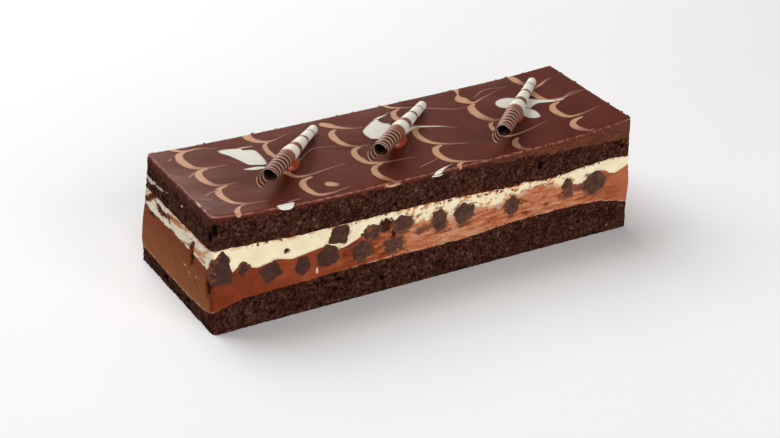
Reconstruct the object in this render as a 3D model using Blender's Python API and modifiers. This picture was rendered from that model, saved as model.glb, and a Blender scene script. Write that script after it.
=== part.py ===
"""A tuxedo cake, uncut: a long bar of dark sponge, chocolate mousse, white cream, sponge and glaze.

Cubes of brownie lie in the mousse and the cream, and show where the sides are cut. Three
rolled curls lie slantwise on the top, each on a dab of chocolate. Z is up, X runs along the
bar, and its front is the long side at -Y. The origin is under the middle of the whole cake.
"""

import math
import random

import bmesh
import bpy
import numpy as np
from mathutils import Matrix, Vector

MM = 0.001

# The bar, at its top corners
LENGTH = 280 * MM
WIDTH = 93.2 * MM
HEIGHT = 74.7 * MM
GAP = 0.3 * MM  # between neighbouring pieces

# The bar has settled: its foot stands out, its mousse bulges, and its top dips between the corners
LEFT_FOOT = 2.8 * MM
FRONT_FOOT = 2.0 * MM
BACK_FOOT_LEFT = 11.0 * MM
BACK_FOOT_RIGHT = 3.0 * MM
BACK_FOOT_TOP = 0.2  # of the height: below this the back stands upright
BULGE = 0.9 * MM
FRONT_DIP = 5.2 * MM
BACK_DIP = 2.5 * MM
DIP_POWER = 4

GLAZE_THICKNESS = 3.4 * MM
GLAZE_RIM = 1.0 * MM
UPRIGHT_CORNER = 1.2 * MM

# How finely each layer is divided, and how its rows crowd towards the long sides
COLUMNS = 40
ROWS = 4
ROW_CROWDING = 0.25
EDGE_FADE = 8  # how fast a line along a side gives way to the one along the middle

# Boundaries between layers: (x, height) in millimetres along the front, the middle and the back
SPONGE_TOP = (
    ((-140, 14), (-130, 17), (-120, 19), (-60, 20.5), (30, 21), (50, 23), (87, 24), (115, 23.5),
     (132, 20), (140, 17)),
    ((-140, 8.5), (-110, 17), (0, 21.5), (110, 22), (140, 17)),
    ((-140, 9), (-115, 16), (-50, 21), (40, 22.5), (110, 21), (140, 16)),
)
MOUSSE_TOP = (
    ((-140, 38), (-130, 36), (-123, 40), (-112, 36), (-100, 38.5), (-90, 36), (-68, 39), (-57, 34.5),
     (-45, 40), (-28, 44), (-8, 38), (8, 40), (16, 38), (48, 38), (60, 42), (70, 43.5), (85, 43.5),
     (91, 39), (106, 38.5), (121, 44), (130, 40), (140, 43.5)),
    ((-140, 40), (140, 40)),
    tuple((x, 40 + 2.5 * math.sin(x / 11) + 1.5 * math.sin(x / 5.3 + 2)) for x in range(-140, 141, 7)),
)
CREAM_TOP = (
    ((-140, 53), (-110, 51.5), (-90, 50), (0, 50), (35, 48.7), (55, 47), (70, 48.5), (77, 46.7),
     (95, 47.5), (115, 49.5), (130, 50), (140, 49)),
    ((-140, 52), (140, 50)),
    ((-140, 52), (0, 50), (140, 49)),
)

# Brownie cubes cut open by the front: (x, height, width, tall, turn in degrees, corners, narrowing),
# where the narrowing makes the foot wider by that share, and the top narrower
FRONT_CHUNKS = (
    (-133.2, 41.9, 12.0, 28.2, 0, 5, 0.8),
    (-121.0, 37.5, 9.0, 8.5, 0, 4, 0),
    (-103.9, 31.5, 18.6, 16.8, -20, 4, 0),
    (-83.4, 30.4, 12.0, 14.0, 34, 5, 0),
    (-67.8, 31.8, 17.2, 15.5, 4, 6, 0),
    (-59.9, 45.0, 17.8, 18.0, 30, 4, 0),
    (-46.0, 29.9, 15.0, 15.6, 0, 6, 0),
    (-39.3, 40.0, 13.5, 10.5, 10, 5, 0),
    (-24.5, 28.6, 17.0, 12.0, 50, 4, 0),
    (-18.5, 40.8, 15.6, 13.0, 14, 5, 0),
    (6.0, 37.0, 10.6, 16.0, -16, 6, 0),
    (23.0, 37.9, 16.5, 17.0, 10, 5, 0),
    (55.8, 34.6, 12.0, 13.5, -12, 6, 0),
    (95.0, 37.7, 9.0, 13.5, 4, 5, 0),
    (115.0, 37.0, 18.0, 16.5, -14, 6, 0),
)
CHUNK_DEPTH = 0.85  # of the mean of its width and its height
CHUNK_BACK = 0.8  # the inner end's size, of the cut end's
CHUNK_BEVEL = 0.7 * MM
CHUNK_UNEVEN = 0.08  # of its size
CUT_THROUGH = 3.0 * MM  # how far a hollow's cutter stands out of the side

# The sides out of sight have cubes as uneven as those in front, spread by chance
SCATTER_SEED = 7
BACK_CHUNKS, BACK_SPAN = 11, 264.0
RIGHT_CHUNKS, RIGHT_SPAN = 3, 66.0
CHUNK_HEIGHTS = (31.0, 40.0)
CHUNK_SIZES = (9.0, 15.0)
CHUNK_TURNS = (0.0, 90.0)
CHUNK_CORNERS = (4, 6)
CHUNK_NARROWINGS = (-0.2, 0.2)
CHUNK_APART = 4.0

# Curls: the middle of the mouth and of the tip, in millimetres on the plan
CURLS = (
    ((-92.7, -23.1), (-38.1, 30.8)),
    ((-20.3, -21.6), (36.8, 30.6)),
    ((57.0, -32.8), (114.3, 27.2)),
)
CURL_RADIUS = 4.6 * MM
CURL_STAGES = ((28, 5.0), (33, 4.9), (44, 4.0), (58, 3.2), (70, 2.9))  # millimetres along, and radius
CURL_TIP_RADIUS = 2.7 * MM
CURL_TIP_FLAT = 0.7  # the radius of the tip's flat end, of the tip's
CURL_TIP_CHAMFER = 1.5 * MM
CURL_WALL = 0.9 * MM
CURL_LIP = 10.0 * MM  # how far the mouth's lower edge reaches past its middle
CURL_BROW = 3.5 * MM  # how far its upper edge does
CURL_BORE = 44.0 * MM
CURL_LIFT = 4.5 * MM  # of the mouth end, which lies on the dab
CURL_STEPS = 18
MERGE = 0.05 * MM

# The dab under each curl: millimetres along it from the mouth, and to its front side
DABS = ((31.3, 2.0), (28.1, 1.5), (35.5, 0.0))
DAB_HALF = (8.0 * MM, 4.6 * MM, 4.2 * MM)
DAB_CENTRE_UP = 1.0 * MM

SHARP = math.radians(60)  # an edge between faces that turn by more than this is a corner of the bar

# Colour and roughness
FINISHES = {
    "sponge": ((0.030, 0.014, 0.009), 0.95),
    "mousse": ((0.32, 0.105, 0.048), 0.55),
    "cream": ((0.84, 0.75, 0.56), 0.5),
    "glaze": ((0.085, 0.022, 0.014), 0.22),
    "brownie": ((0.045, 0.020, 0.014), 0.85),
    "curl": ((0.80, 0.74, 0.60), 0.35),
    "dab": ((0.22, 0.045, 0.020), 0.12),
}

parts = bpy.data.collections.new("tuxedo_cake")
cutters = bpy.data.collections.new("tuxedo_cake_cutters")
hollows = bpy.data.collections.new("tuxedo_cake_hollows")


def mix(first, second, share):
    return first + (second - first) * share


def clear_scene():
    for old in list(bpy.data.objects):
        bpy.data.objects.remove(old, do_unlink=True)
    for collection in (parts, cutters, hollows):
        bpy.context.scene.collection.children.link(collection)


def make_material(name):
    colour, roughness = FINISHES[name]
    made = bpy.data.materials.new(name)
    made.use_nodes = True
    shader = made.node_tree.nodes["Principled BSDF"]
    shader.inputs["Base Color"].default_value = (*colour, 1)
    shader.inputs["Roughness"].default_value = roughness
    shader.inputs["Metallic"].default_value = 0
    return made


def add_object(name, mesh, collection, material=None):
    """Turns an edited mesh into an object of the cake, or into a cutter that isn't rendered."""
    data = bpy.data.meshes.new(name)
    mesh.to_mesh(data)
    mesh.free()
    made = bpy.data.objects.new(name, data)
    made.parent = cake
    collection.objects.link(made)
    if material is None:
        made.hide_render = True
        made.display_type = "WIRE"
    else:
        data.materials.append(material)
    return made


def cut(target, cutter):
    """Takes a cutter, or every object of a collection of them, out of an object."""
    tool = target.modifiers.new("cut", "BOOLEAN")
    tool.operation = "DIFFERENCE"
    tool.solver = "EXACT"
    if isinstance(cutter, bpy.types.Collection):
        tool.operand_type = "COLLECTION"
        tool.collection = cutter
    else:
        tool.object = cutter


def outline(u, v, z):
    """The point of the bar at u from its left end (-1) to its right (1) and v from front to back."""
    down = 1 - z / HEIGHT
    left, front, back = (1 - u) / 2, (1 - v) / 2, (1 + v) / 2
    back_foot = mix(BACK_FOOT_RIGHT, BACK_FOOT_LEFT, left) * min(1, down / (1 - BACK_FOOT_TOP))
    x = u * LENGTH / 2 - LEFT_FOOT * down * left
    y = v * WIDTH / 2 - FRONT_FOOT * down * left**2 * front + back_foot * back
    return Vector((x, y, z))


def boundary(lines, u, v):
    """The height of a boundary between layers, from its front, middle and back lines."""
    front, middle, back = (np.interp(u * LENGTH / 2 / MM, *zip(*line)) * MM for line in lines)
    near, far = ((1 - v) / 2) ** EDGE_FADE, ((1 + v) / 2) ** EDGE_FADE
    return near * front + far * back + (1 - near - far) * middle


def floor_level(u, v):
    return 0.0


def sponge_level(u, v):
    return boundary(SPONGE_TOP, u, v)


def mousse_level(u, v):
    return boundary(MOUSSE_TOP, u, v)


def cream_level(u, v):
    return boundary(CREAM_TOP, u, v)


def glaze_level(u, v):
    dip = mix(FRONT_DIP, BACK_DIP, (1 + v) / 2)
    return HEIGHT - dip * (1 - abs(u) ** DIP_POWER)


def glaze_underside(u, v):
    return glaze_level(u, v) - GLAZE_THICKNESS


def surface_below(x, y):
    """The height of the glaze under a point of the plan."""
    return glaze_level(2 * x / LENGTH, 2 * y / WIDTH)


def divided_cube(rows_up):
    """A cube from -1 to 1, divided along each axis, with its rows crowded towards the long sides."""
    mesh = bmesh.new()
    bmesh.ops.create_cube(mesh, size=2)
    for axis, pieces in enumerate((COLUMNS, ROWS, rows_up)):
        run = [e for e in mesh.edges if abs(e.verts[0].co[axis] - e.verts[1].co[axis]) > 1]
        if pieces > 1:
            bmesh.ops.subdivide_edges(mesh, edges=run, cuts=pieces - 1, use_grid_fill=True)
    for corner in mesh.verts:
        corner.co.y = math.copysign(abs(corner.co.y) ** ROW_CROWDING, corner.co.y)
    return mesh


def split_level_faces(mesh):
    """Halves the faces above and below along one diagonal, so that facing layers match."""
    mesh.normal_update()
    for face in [f for f in mesh.faces if abs(f.normal.z) > 0.5]:
        corners = sorted(face.verts, key=lambda corner: corner.co.x + corner.co.y)
        bmesh.utils.face_split(face, corners[0], corners[-1])


def face_outwards(mesh):
    """Turns the faces of a closed mesh outwards, if moving its corners has turned it inside out."""
    if mesh.calc_volume(signed=True) < 0:
        bmesh.ops.reverse_faces(mesh, faces=mesh.faces)
    mesh.normal_update()


def round_edges(mesh, edges, size, segments):
    bmesh.ops.bevel(
        mesh, geom=edges, offset=size, segments=segments, affect="EDGES", profile=0.5, clamp_overlap=True
    )


def upright_edges(mesh):
    """The edges up the four corners of a layer."""
    sharp = [e for e in mesh.edges if e.calc_face_angle(0) > SHARP]
    return [e for e in sharp if abs((e.verts[0].co - e.verts[1].co).normalized().z) > 0.8]


def rim_edges(mesh, rim):
    """The edges around a layer's upper side, which has the corners in rim."""
    return [e for e in mesh.edges if set(e.verts) <= rim and e.calc_face_angle(0) > SHARP]


def add_layer(name, low, high, material, bulge=0.0, rounded=False):
    """A layer between two levels. It bulges halfway up, and may have a rounded upper rim."""
    mesh = divided_cube(2 if bulge else 1)
    rim = set()
    for corner in mesh.verts:
        u, v, w = corner.co
        bottom = low(u, v) + (GAP / 2 if low is not floor_level else 0)
        top = high(u, v) - (GAP / 2 if low is not glaze_underside else 0)
        swell = bulge * (1 - w * w)
        corner.co = outline(u, v, mix(bottom, top, (w + 1) / 2))
        corner.co.x += swell * int(u)
        corner.co.y += swell * int(v)
        if w == 1:
            rim.add(corner)
    split_level_faces(mesh)
    if rounded:
        round_edges(mesh, upright_edges(mesh) + rim_edges(mesh, rim), GLAZE_RIM, 2)
    else:
        round_edges(mesh, upright_edges(mesh), UPRIGHT_CORNER, 1)
    return add_object(name, mesh, parts, material)


def on_side(side, along, z, inward):
    """A point at a distance along a side of the bar, at a height and a depth behind it."""
    if side == "right":
        return outline(1, 2 * along / WIDTH, z) - Vector((inward, 0, 0))
    if side == "back":
        return outline(2 * along / LENGTH, 1, z) - Vector((0, inward, 0))
    return outline(2 * along / LENGTH, -1, z) + Vector((0, inward, 0))


def chunk_mesh(side, sizes, uneven, hollow):
    """A brownie cube cut open by a side, or the cutter for the hollow that holds it."""
    along, middle_z, width, tall, turn, corners, narrowing = sizes
    along, middle_z, half_width, half_tall = (value * MM for value in (along, middle_z, width / 2, tall / 2))
    depth = CHUNK_DEPTH * (half_width + half_tall)
    apart = 1 + GAP / (min(half_width, half_tall) * math.cos(math.pi / corners))
    mesh = bmesh.new()
    bmesh.ops.create_cone(
        mesh, cap_ends=True, segments=corners, radius1=1, radius2=CHUNK_BACK, depth=1,
        matrix=Matrix.Rotation(math.radians(turn), 4, "Z"),
    )
    for number, corner in enumerate(mesh.verts):
        sideways, up, inward = corner.co
        shift = 1 + uneven[number // 2]
        if hollow:
            shift *= apart
        sideways *= 1 - narrowing * up
        z = middle_z + up * shift * half_tall
        if inward < 0:
            behind = -CUT_THROUGH if hollow else 0
        else:
            behind = depth + (GAP if hollow else 0)
        corner.co = on_side(side, along + sideways * shift * half_width, z, behind)
        if not hollow:
            u, v = 2 * corner.co.x / LENGTH, max(-1, min(1, 2 * corner.co.y / WIDTH))
            corner.co.z = max(sponge_level(u, v) + 2 * GAP, min(cream_level(u, v) - 2 * GAP, z))
    face_outwards(mesh)
    if not hollow:
        round_edges(mesh, mesh.edges[:], CHUNK_BEVEL, 1)
    return mesh


def add_chunks(side, rows, material, pick):
    for number, sizes in enumerate(rows, 1):
        corners = sizes[5]
        uneven = [pick.uniform(-CHUNK_UNEVEN, CHUNK_UNEVEN) for _ in range(corners)]
        add_object(f"brownie_{side}_{number:02d}", chunk_mesh(side, sizes, uneven, False), parts, material)
        add_object(f"hollow_{side}_{number:02d}", chunk_mesh(side, sizes, uneven, True), hollows)


def scattered_chunks(count, span, pick):
    """Rows like those of FRONT_CHUNKS, one for each equal share of a side."""
    share = span / count
    rows = []
    for number in range(count):
        middle = (number + 0.5) * share - span / 2
        width, tall = pick.uniform(*CHUNK_SIZES), pick.uniform(*CHUNK_SIZES)
        spare = (share - width - CHUNK_APART) / 2
        along = middle + pick.uniform(-spare, spare)
        shape = (pick.uniform(*CHUNK_TURNS), pick.randint(*CHUNK_CORNERS), pick.uniform(*CHUNK_NARROWINGS))
        rows.append((along, pick.uniform(*CHUNK_HEIGHTS), width, tall, *shape))
    return rows


def curl_matrix(mouth, tip):
    """The curl's own frame: Z from its mouth to its tip, Y up and X to its back side."""
    ends = []
    for (x, y), radius, lift in ((mouth, CURL_RADIUS, CURL_LIFT), (tip, CURL_TIP_RADIUS, GAP)):
        x, y = x * MM, y * MM
        ends.append(Vector((x, y, surface_below(x, y) + radius + lift)))
    run = (ends[1] - ends[0]).normalized()
    aside = run.cross(Vector((0, 0, 1))).normalized()
    up = aside.cross(run)
    frame = Matrix((-aside, up, run)).transposed().to_4x4()
    frame.translation = ends[0]
    return frame, (ends[1] - ends[0]).length


def turned(name, profile, collection, material=None):
    """A solid turned from a profile of (radius, height) that runs down its outer side."""
    mesh = bmesh.new()
    row = [mesh.verts.new((radius, 0, height)) for radius, height in profile]
    for first, second in zip(row, row[1:]):
        mesh.edges.new((first, second))
    made = add_object(name, mesh, collection, material)
    screw = made.modifiers.new("turn", "SCREW")
    screw.steps = screw.render_steps = CURL_STEPS
    screw.use_merge_vertices = True
    screw.merge_threshold = MERGE
    return made


def curl_outside(length, grown=0.0):
    """The outer side of a curl, from its tip down to its mouth."""
    return [
        (0, length + grown),
        (CURL_TIP_RADIUS * CURL_TIP_FLAT + grown, length + grown),
        (CURL_TIP_RADIUS + grown, length - CURL_TIP_CHAMFER),
        *((radius * MM + grown, along * MM) for along, radius in reversed(CURL_STAGES)),
        (CURL_RADIUS + grown, -CURL_LIP - grown),
    ]


def slant_cutter(name, matrix):
    """A block that cuts the mouth slantwise, from its upper edge down to its lower one."""
    fall = 2 * CURL_RADIUS
    run = CURL_LIP - CURL_BROW
    slant = math.atan2(run, fall)
    size = 4 * CURL_LIP
    mesh = bmesh.new()
    bmesh.ops.create_cube(mesh, size=size)
    bmesh.ops.translate(mesh, verts=mesh.verts, vec=(0, 0, -size / 2))
    bmesh.ops.rotate(mesh, verts=mesh.verts, cent=(0, 0, 0), matrix=Matrix.Rotation(slant, 3, "X"))
    bmesh.ops.translate(mesh, verts=mesh.verts, vec=(0, CURL_RADIUS, -CURL_BROW))
    made = add_object(name, mesh, cutters)
    made.matrix_local = matrix
    return made


def add_curl(number, mouth, tip, material):
    matrix, length = curl_matrix(mouth, tip)
    bored = [(radius * MM - CURL_WALL, along * MM) for along, radius in CURL_STAGES]
    profile = curl_outside(length) + [
        (CURL_RADIUS - CURL_WALL, -CURL_LIP),
        *((radius, along) for radius, along in bored if along <= CURL_BORE),
        (0, CURL_BORE),
    ]
    curl = turned(f"curl_{number}", profile, parts, material)
    curl.matrix_local = matrix
    cut(curl, slant_cutter(f"curl_slant_{number}", matrix))
    return matrix, length


def add_dab(number, matrix, length, along, forward, material):
    """The dab of chocolate that a curl lies on, squeezed out along its front side."""
    run = matrix.to_3x3() @ Vector((0, 0, 1))
    heading = math.atan2(run.y, run.x)
    aside = Vector((math.sin(heading), -math.cos(heading), 0))
    place = matrix @ Vector((0, 0, along * MM)) + aside * forward * MM
    mesh = bmesh.new()
    bmesh.ops.create_uvsphere(mesh, u_segments=14, v_segments=10, radius=1)
    bmesh.ops.scale(mesh, verts=mesh.verts, vec=DAB_HALF)
    bmesh.ops.rotate(mesh, verts=mesh.verts, matrix=Matrix.Rotation(heading, 3, "Z"))
    for corner in mesh.verts:
        corner.co.x += place.x
        corner.co.y += place.y
        glaze = surface_below(corner.co.x, corner.co.y)
        corner.co.z = glaze + max(GAP, corner.co.z + DAB_CENTRE_UP)
    bmesh.ops.dissolve_degenerate(mesh, dist=0.01 * MM, edges=mesh.edges)
    dab = add_object(f"dab_{number}", mesh, parts, material)
    grown_curl = curl_outside(length, GAP) + [(0, -CURL_LIP - GAP)]
    room = turned(f"dab_room_{number}", grown_curl, cutters)
    room.matrix_local = matrix
    cut(dab, room)


def add_layers(look):
    """The five layers. The cubes lie in hollows in two of them."""
    mousse = add_layer("mousse_chocolate", sponge_level, mousse_level, look["mousse"], bulge=BULGE)
    cream = add_layer("cream", mousse_level, cream_level, look["cream"])
    for layer in (mousse, cream):
        cut(layer, hollows)
    return (
        add_layer("sponge_bottom", floor_level, sponge_level, look["sponge"]),
        mousse,
        cream,
        add_layer("sponge_top", cream_level, glaze_underside, look["sponge"]),
        add_layer("glaze", glaze_underside, glaze_level, look["glaze"], rounded=True),
    )


def stand_on_origin(layers):
    """Moves the cake so that the origin is under the middle of the layers' box."""
    bpy.context.view_layer.update()
    seen = bpy.context.evaluated_depsgraph_get()
    solids = [layer.evaluated_get(seen) for layer in layers]
    places = [solid.matrix_world @ Vector(corner) for solid in solids for corner in solid.bound_box]
    low = [min(place[axis] for place in places) for axis in range(3)]
    high = [max(place[axis] for place in places) for axis in range(3)]
    cake.location = (-(low[0] + high[0]) / 2, -(low[1] + high[1]) / 2, -low[2])
    bpy.context.view_layer.update()


clear_scene()
cake = bpy.data.objects.new("tuxedo_cake", None)
parts.objects.link(cake)
looks = {name: make_material(name) for name in FINISHES}
chance = random.Random(SCATTER_SEED)
cake_layers = add_layers(looks)
add_chunks("front", FRONT_CHUNKS, looks["brownie"], chance)
add_chunks("back", scattered_chunks(BACK_CHUNKS, BACK_SPAN, chance), looks["brownie"], chance)
add_chunks("right", scattered_chunks(RIGHT_CHUNKS, RIGHT_SPAN, chance), looks["brownie"], chance)
for curl_number, (curl_ends, dab_place) in enumerate(zip(CURLS, DABS), 1):
    curl_place, curl_length = add_curl(curl_number, *curl_ends, looks["curl"])
    add_dab(curl_number, curl_place, curl_length, *dab_place, looks["dab"])
stand_on_origin(cake_layers)
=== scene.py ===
"""The looks of the tuxedo cake: its crumb, mousse, cream, marbled glaze and curls, and the studio.

Every piece is made in the bar's own frame, where X runs along the bar from its left end, Y to its
back and Z up, with the origin under the middle of its top. SHIFT places that frame in the world.
"""

import itertools
import math

import bpy
import numpy as np
from mathutils import Matrix, Vector, geometry


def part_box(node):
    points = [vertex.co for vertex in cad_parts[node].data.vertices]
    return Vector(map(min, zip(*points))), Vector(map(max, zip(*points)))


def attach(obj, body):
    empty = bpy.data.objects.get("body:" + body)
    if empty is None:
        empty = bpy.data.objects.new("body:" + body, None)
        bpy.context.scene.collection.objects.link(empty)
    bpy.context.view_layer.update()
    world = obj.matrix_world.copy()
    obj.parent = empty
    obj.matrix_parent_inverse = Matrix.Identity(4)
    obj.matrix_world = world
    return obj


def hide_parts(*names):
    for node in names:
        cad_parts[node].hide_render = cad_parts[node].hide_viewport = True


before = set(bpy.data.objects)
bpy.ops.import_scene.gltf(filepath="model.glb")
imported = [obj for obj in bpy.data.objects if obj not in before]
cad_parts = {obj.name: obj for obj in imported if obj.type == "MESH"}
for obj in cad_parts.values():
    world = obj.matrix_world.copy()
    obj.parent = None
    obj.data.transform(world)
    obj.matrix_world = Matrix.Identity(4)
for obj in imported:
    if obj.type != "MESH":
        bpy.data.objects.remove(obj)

MM = 0.001

# The bar, as it is in the solids
LENGTH = 280 * MM
WIDTH = 93.2 * MM
HEIGHT = 74.7 * MM
LEFT_FOOT = 2.8 * MM
FRONT_FOOT = 2.0 * MM
BACK_FOOT_LEFT = 11.0 * MM
BACK_FOOT_RIGHT = 3.0 * MM
BACK_FOOT_TOP = 0.2
BULGE = 0.9 * MM
FRONT_DIP = 5.2 * MM
BACK_DIP = 2.5 * MM
DIP_POWER = 4
EDGE_FADE = 8
GLAZE_OVERLAP = 2.0 * MM

# Boundaries between layers: (x, height) in millimetres along the front, the middle and the back
SPONGE_TOP = (
    ((-140, 14), (-130, 17), (-120, 19), (-60, 20.5), (30, 21), (50, 23), (87, 24), (115, 23.5),
     (132, 20), (140, 17)),
    ((-140, 8.5), (-110, 17), (0, 21.5), (110, 22), (140, 17)),
    ((-140, 9), (-115, 16), (-50, 21), (40, 22.5), (110, 21), (140, 16)),
)
MOUSSE_TOP = (
    ((-140, 38), (-130, 36), (-123, 40), (-112, 36), (-100, 38.5), (-90, 36), (-68, 39), (-57, 34.5),
     (-45, 40), (-28, 44), (-8, 38), (8, 40), (16, 38), (48, 38), (60, 42), (70, 43.5), (85, 43.5),
     (91, 39), (106, 38.5), (121, 44), (129.5, 38.6), (140, 43.5)),
    ((-140, 40), (140, 40)),
    tuple((x, 40 + 2.5 * math.sin(x / 11) + 1.5 * math.sin(x / 5.3 + 2)) for x in range(-140, 141, 7)),
)
CREAM_TOP = (
    ((-140, 53), (-110, 51.5), (-90, 50), (0, 50), (35, 48.7), (55, 47), (70, 48.5), (77, 46.7),
     (95, 47.5), (115, 49.5), (130, 50), (140, 49)),
    ((-140, 52), (140, 50)),
    ((-140, 52), (0, 50), (140, 49)),
)

SOFTENING = (-2.4, -1.2, 0, 1.2, 2.4)  # millimetres that the corners of those lines are rounded over

SHIFT = Vector((
    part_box("sponge_bottom")[0].x + LENGTH / 2 + LEFT_FOOT,
    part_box("sponge_bottom")[1].y - WIDTH / 2 - BACK_FOOT_LEFT,
    0,
))

CORNER = 2.2 * MM  # the radius of the bar's upright corners
SKIN_STEP = 0.56 * MM  # between the points of a cut side

# Each side: the axis it runs along, and the way out of it
SIDES = {"front": (0, (0, -1)), "right": (1, (1, 0)), "back": (0, (0, 1)), "left": (1, (-1, 0))}


def mix(first, second, share):
    return first + (second - first) * share


def ease(share):
    """0 below 0, 1 above 1, and a smooth rise between them."""
    share = np.clip(share, 0, 1)
    return share * share * (3 - 2 * share)


def rise(value, start, end):
    """A smooth rise from 0 where value is start to 1 where it is end; end may be below start."""
    return ease((value - start) / (end - start))


def srgb(*levels):
    """A colour for a shader, from red, green and blue as a picture states them, 0 to 255."""
    shares = [level / 255 for level in levels]
    return tuple(s / 12.92 if s <= 0.04045 else ((s + 0.055) / 1.055) ** 2.4 for s in shares) + (1,)


# ---- Noise, the same at each run ----


def lattice(cells, seed):
    """A number from -1 to 1 for each whole-numbered cell."""
    x, y, z = (cells[..., axis].astype(np.int64) for axis in range(3))
    mixed = (x * 73856093) ^ (y * 19349663) ^ (z * 83492791) ^ (seed * 39916801)
    mixed = ((mixed ^ (mixed >> 15)) * 2246822519) & 0xFFFFFFFF
    mixed = ((mixed ^ (mixed >> 13)) * 3266489917) & 0xFFFFFFFF
    return (mixed ^ (mixed >> 16)) / 0x7FFFFFFF - 1


def noise(places, size, seed, stretch=(1, 1, 1)):
    """Smooth noise from -1 to 1 with bumps about size across, in millimetres, drawn out by stretch."""
    at = places / (size * MM * np.array(stretch))
    cell = np.floor(at)
    part = ease(at - cell)
    total = 0
    for corner in itertools.product((0, 1), repeat=3):
        weight = np.prod(np.where(corner, part, 1 - part), axis=-1)
        total = total + weight * lattice(cell + corner, seed)
    return total


def pores(places, size, seed, share):
    """0, and 1 at the middle of round pores, which that share of the cells of size millimetres has."""
    at = places / (size * MM)
    cell = np.floor(at)
    deepest = np.zeros(places.shape[:-1])
    for step in itertools.product((-1, 0, 1), repeat=3):
        near = cell + step
        middle = near + 0.5 + 0.4 * np.stack([lattice(near, seed + axis) for axis in range(3)], -1)
        away = np.linalg.norm(at - middle, axis=-1)
        radius = 0.3 + 0.16 * lattice(near, seed + 3)
        has_pore = lattice(near, seed + 4) < 2 * share - 1
        deepest = np.maximum(deepest, ease(1.6 - 1.6 * away / radius) * has_pore)
    return deepest


# ---- The bar's form ----


def outline(u, v, z):
    """Points of the bar at u from its left end (-1) to its right (1) and v from front to back."""
    down = 1 - z / HEIGHT
    left, front, back = (1 - u) / 2, (1 - v) / 2, (1 + v) / 2
    back_foot = mix(BACK_FOOT_RIGHT, BACK_FOOT_LEFT, left) * np.minimum(1, down / (1 - BACK_FOOT_TOP))
    x = u * LENGTH / 2 - LEFT_FOOT * down * left
    y = v * WIDTH / 2 - FRONT_FOOT * down * left**2 * front + back_foot * back
    return np.stack(np.broadcast_arrays(x, y, z), -1)


def boundary(lines, u, v):
    """The height of a boundary between layers, from its front, middle and back lines."""
    x = u * LENGTH / 2 / MM
    front, middle, back = (
        np.mean([np.interp(x + shift, *zip(*line)) for shift in SOFTENING], axis=0) * MM for line in lines
    )
    near, far = ((1 - v) / 2) ** EDGE_FADE, ((1 + v) / 2) ** EDGE_FADE
    return near * front + far * back + (1 - near - far) * middle


def on_plan(u, v):
    """Level points of the bar, for noise that doesn't change with height."""
    return np.stack(np.broadcast_arrays(u * LENGTH / 2, v * WIDTH / 2, 0.0), -1)


def ragged(u, v, size, depth, seed):
    """How far the line between two layers strays up or down; size and depth are in millimetres."""
    places = on_plan(u, v)
    return depth * MM * (0.65 * noise(places, size, seed) + 0.35 * noise(places, size / 3, seed + 1))


def floor_level(u, v):
    return np.zeros(np.broadcast(u, v).shape)


def sponge_level(u, v):
    return boundary(SPONGE_TOP, u, v) + ragged(u, v, 4, 0.55, 11)


def mousse_level(u, v):
    at_left_end = rise(u, -0.96, -1)
    smeared = rise(u, -0.3, -0.1)
    stray = ragged(u, v, 7, mix(0.35, 1.5, at_left_end), 21) + ragged(u, v, 3.4, 1.1 * smeared, 23)
    return boundary(MOUSSE_TOP, u, v) + stray


def cream_level(u, v):
    crumbly = rise(u, 0.1, 0.2) * rise(u, 0.66, 0.56) * ease(-v)
    return boundary(CREAM_TOP, u, v) + ragged(u, v, 3.2, mix(0.6, 1.5, crumbly), 31)


def glaze_level(u, v):
    dip = mix(FRONT_DIP, BACK_DIP, (1 + v) / 2)
    return HEIGHT - dip * (1 - np.abs(u) ** DIP_POWER)


def sponge_reach(u, v):
    """The top sponge reaches up behind the glaze's edge, so that no gap can show."""
    return glaze_level(u, v) - GLAZE_OVERLAP


def plan(x, y):
    """u, v and the way out of the bar for points of its plan, whose corners are rounded."""
    a = np.clip((np.abs(x) - LENGTH / 2 + CORNER) / CORNER, 0, 1)
    b = np.clip((np.abs(y) - WIDTH / 2 + CORNER) / CORNER, 0, 1)
    round_a, round_b = a * np.sqrt(1 - b * b / 2), b * np.sqrt(1 - a * a / 2)
    right, back = np.where(x < 0, -1, 1), np.where(y < 0, -1, 1)
    new_x = right * (np.minimum(np.abs(x), LENGTH / 2 - CORNER) + CORNER * round_a)
    new_y = back * (np.minimum(np.abs(y), WIDTH / 2 - CORNER) + CORNER * round_b)
    return 2 * new_x / LENGTH, 2 * new_y / WIDTH, np.stack([right * round_a, back * round_b], -1)


def rim_path(xs, ys):
    """The rectangle with those grid lines: around it from its front left corner."""
    along, across = np.ones(len(xs) - 1), np.ones(len(ys) - 1)
    x = np.concatenate([xs[:-1], across * xs[-1], xs[:0:-1], across * xs[0]])
    y = np.concatenate([along * ys[0], ys[:-1], along * ys[-1], ys[:0:-1]])
    return x, y


def even_lines(length, step):
    return np.linspace(-length / 2, length / 2, round(length / step) + 1)


def facing(out, side):
    """1 where the bar faces a side, 0 where it doesn't."""
    way = SIDES[side][1]
    return (out[..., 0] * way[0] + out[..., 1] * way[1] > 0.6).astype(float)


# ---- Meshes ----


def make_piece(name, places, faces, material, values=None, smooth=True):
    """An object from points in the bar's frame, with values at them for its material to read."""
    mesh = bpy.data.meshes.new(name)
    mesh.from_pydata(places.reshape(-1, 3).tolist(), [], faces)
    mesh.update()
    if smooth:
        mesh.shade_smooth()
    for key, numbers in (values or {}).items():
        held = mesh.attributes.new(key, "FLOAT", "POINT")
        held.data.foreach_set("value", np.ascontiguousarray(numbers, np.float32).ravel())
    mesh.materials.append(material)
    piece = bpy.data.objects.new(name, mesh)
    piece.location = SHIFT
    bpy.context.scene.collection.objects.link(piece)
    return piece


def finish_piece(piece, slot, *nodes):
    """The piece rides on the cake and stands for those solids, which it hides; slot is not used."""
    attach(piece, "root")
    for node in nodes:
        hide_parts(node)


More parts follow.
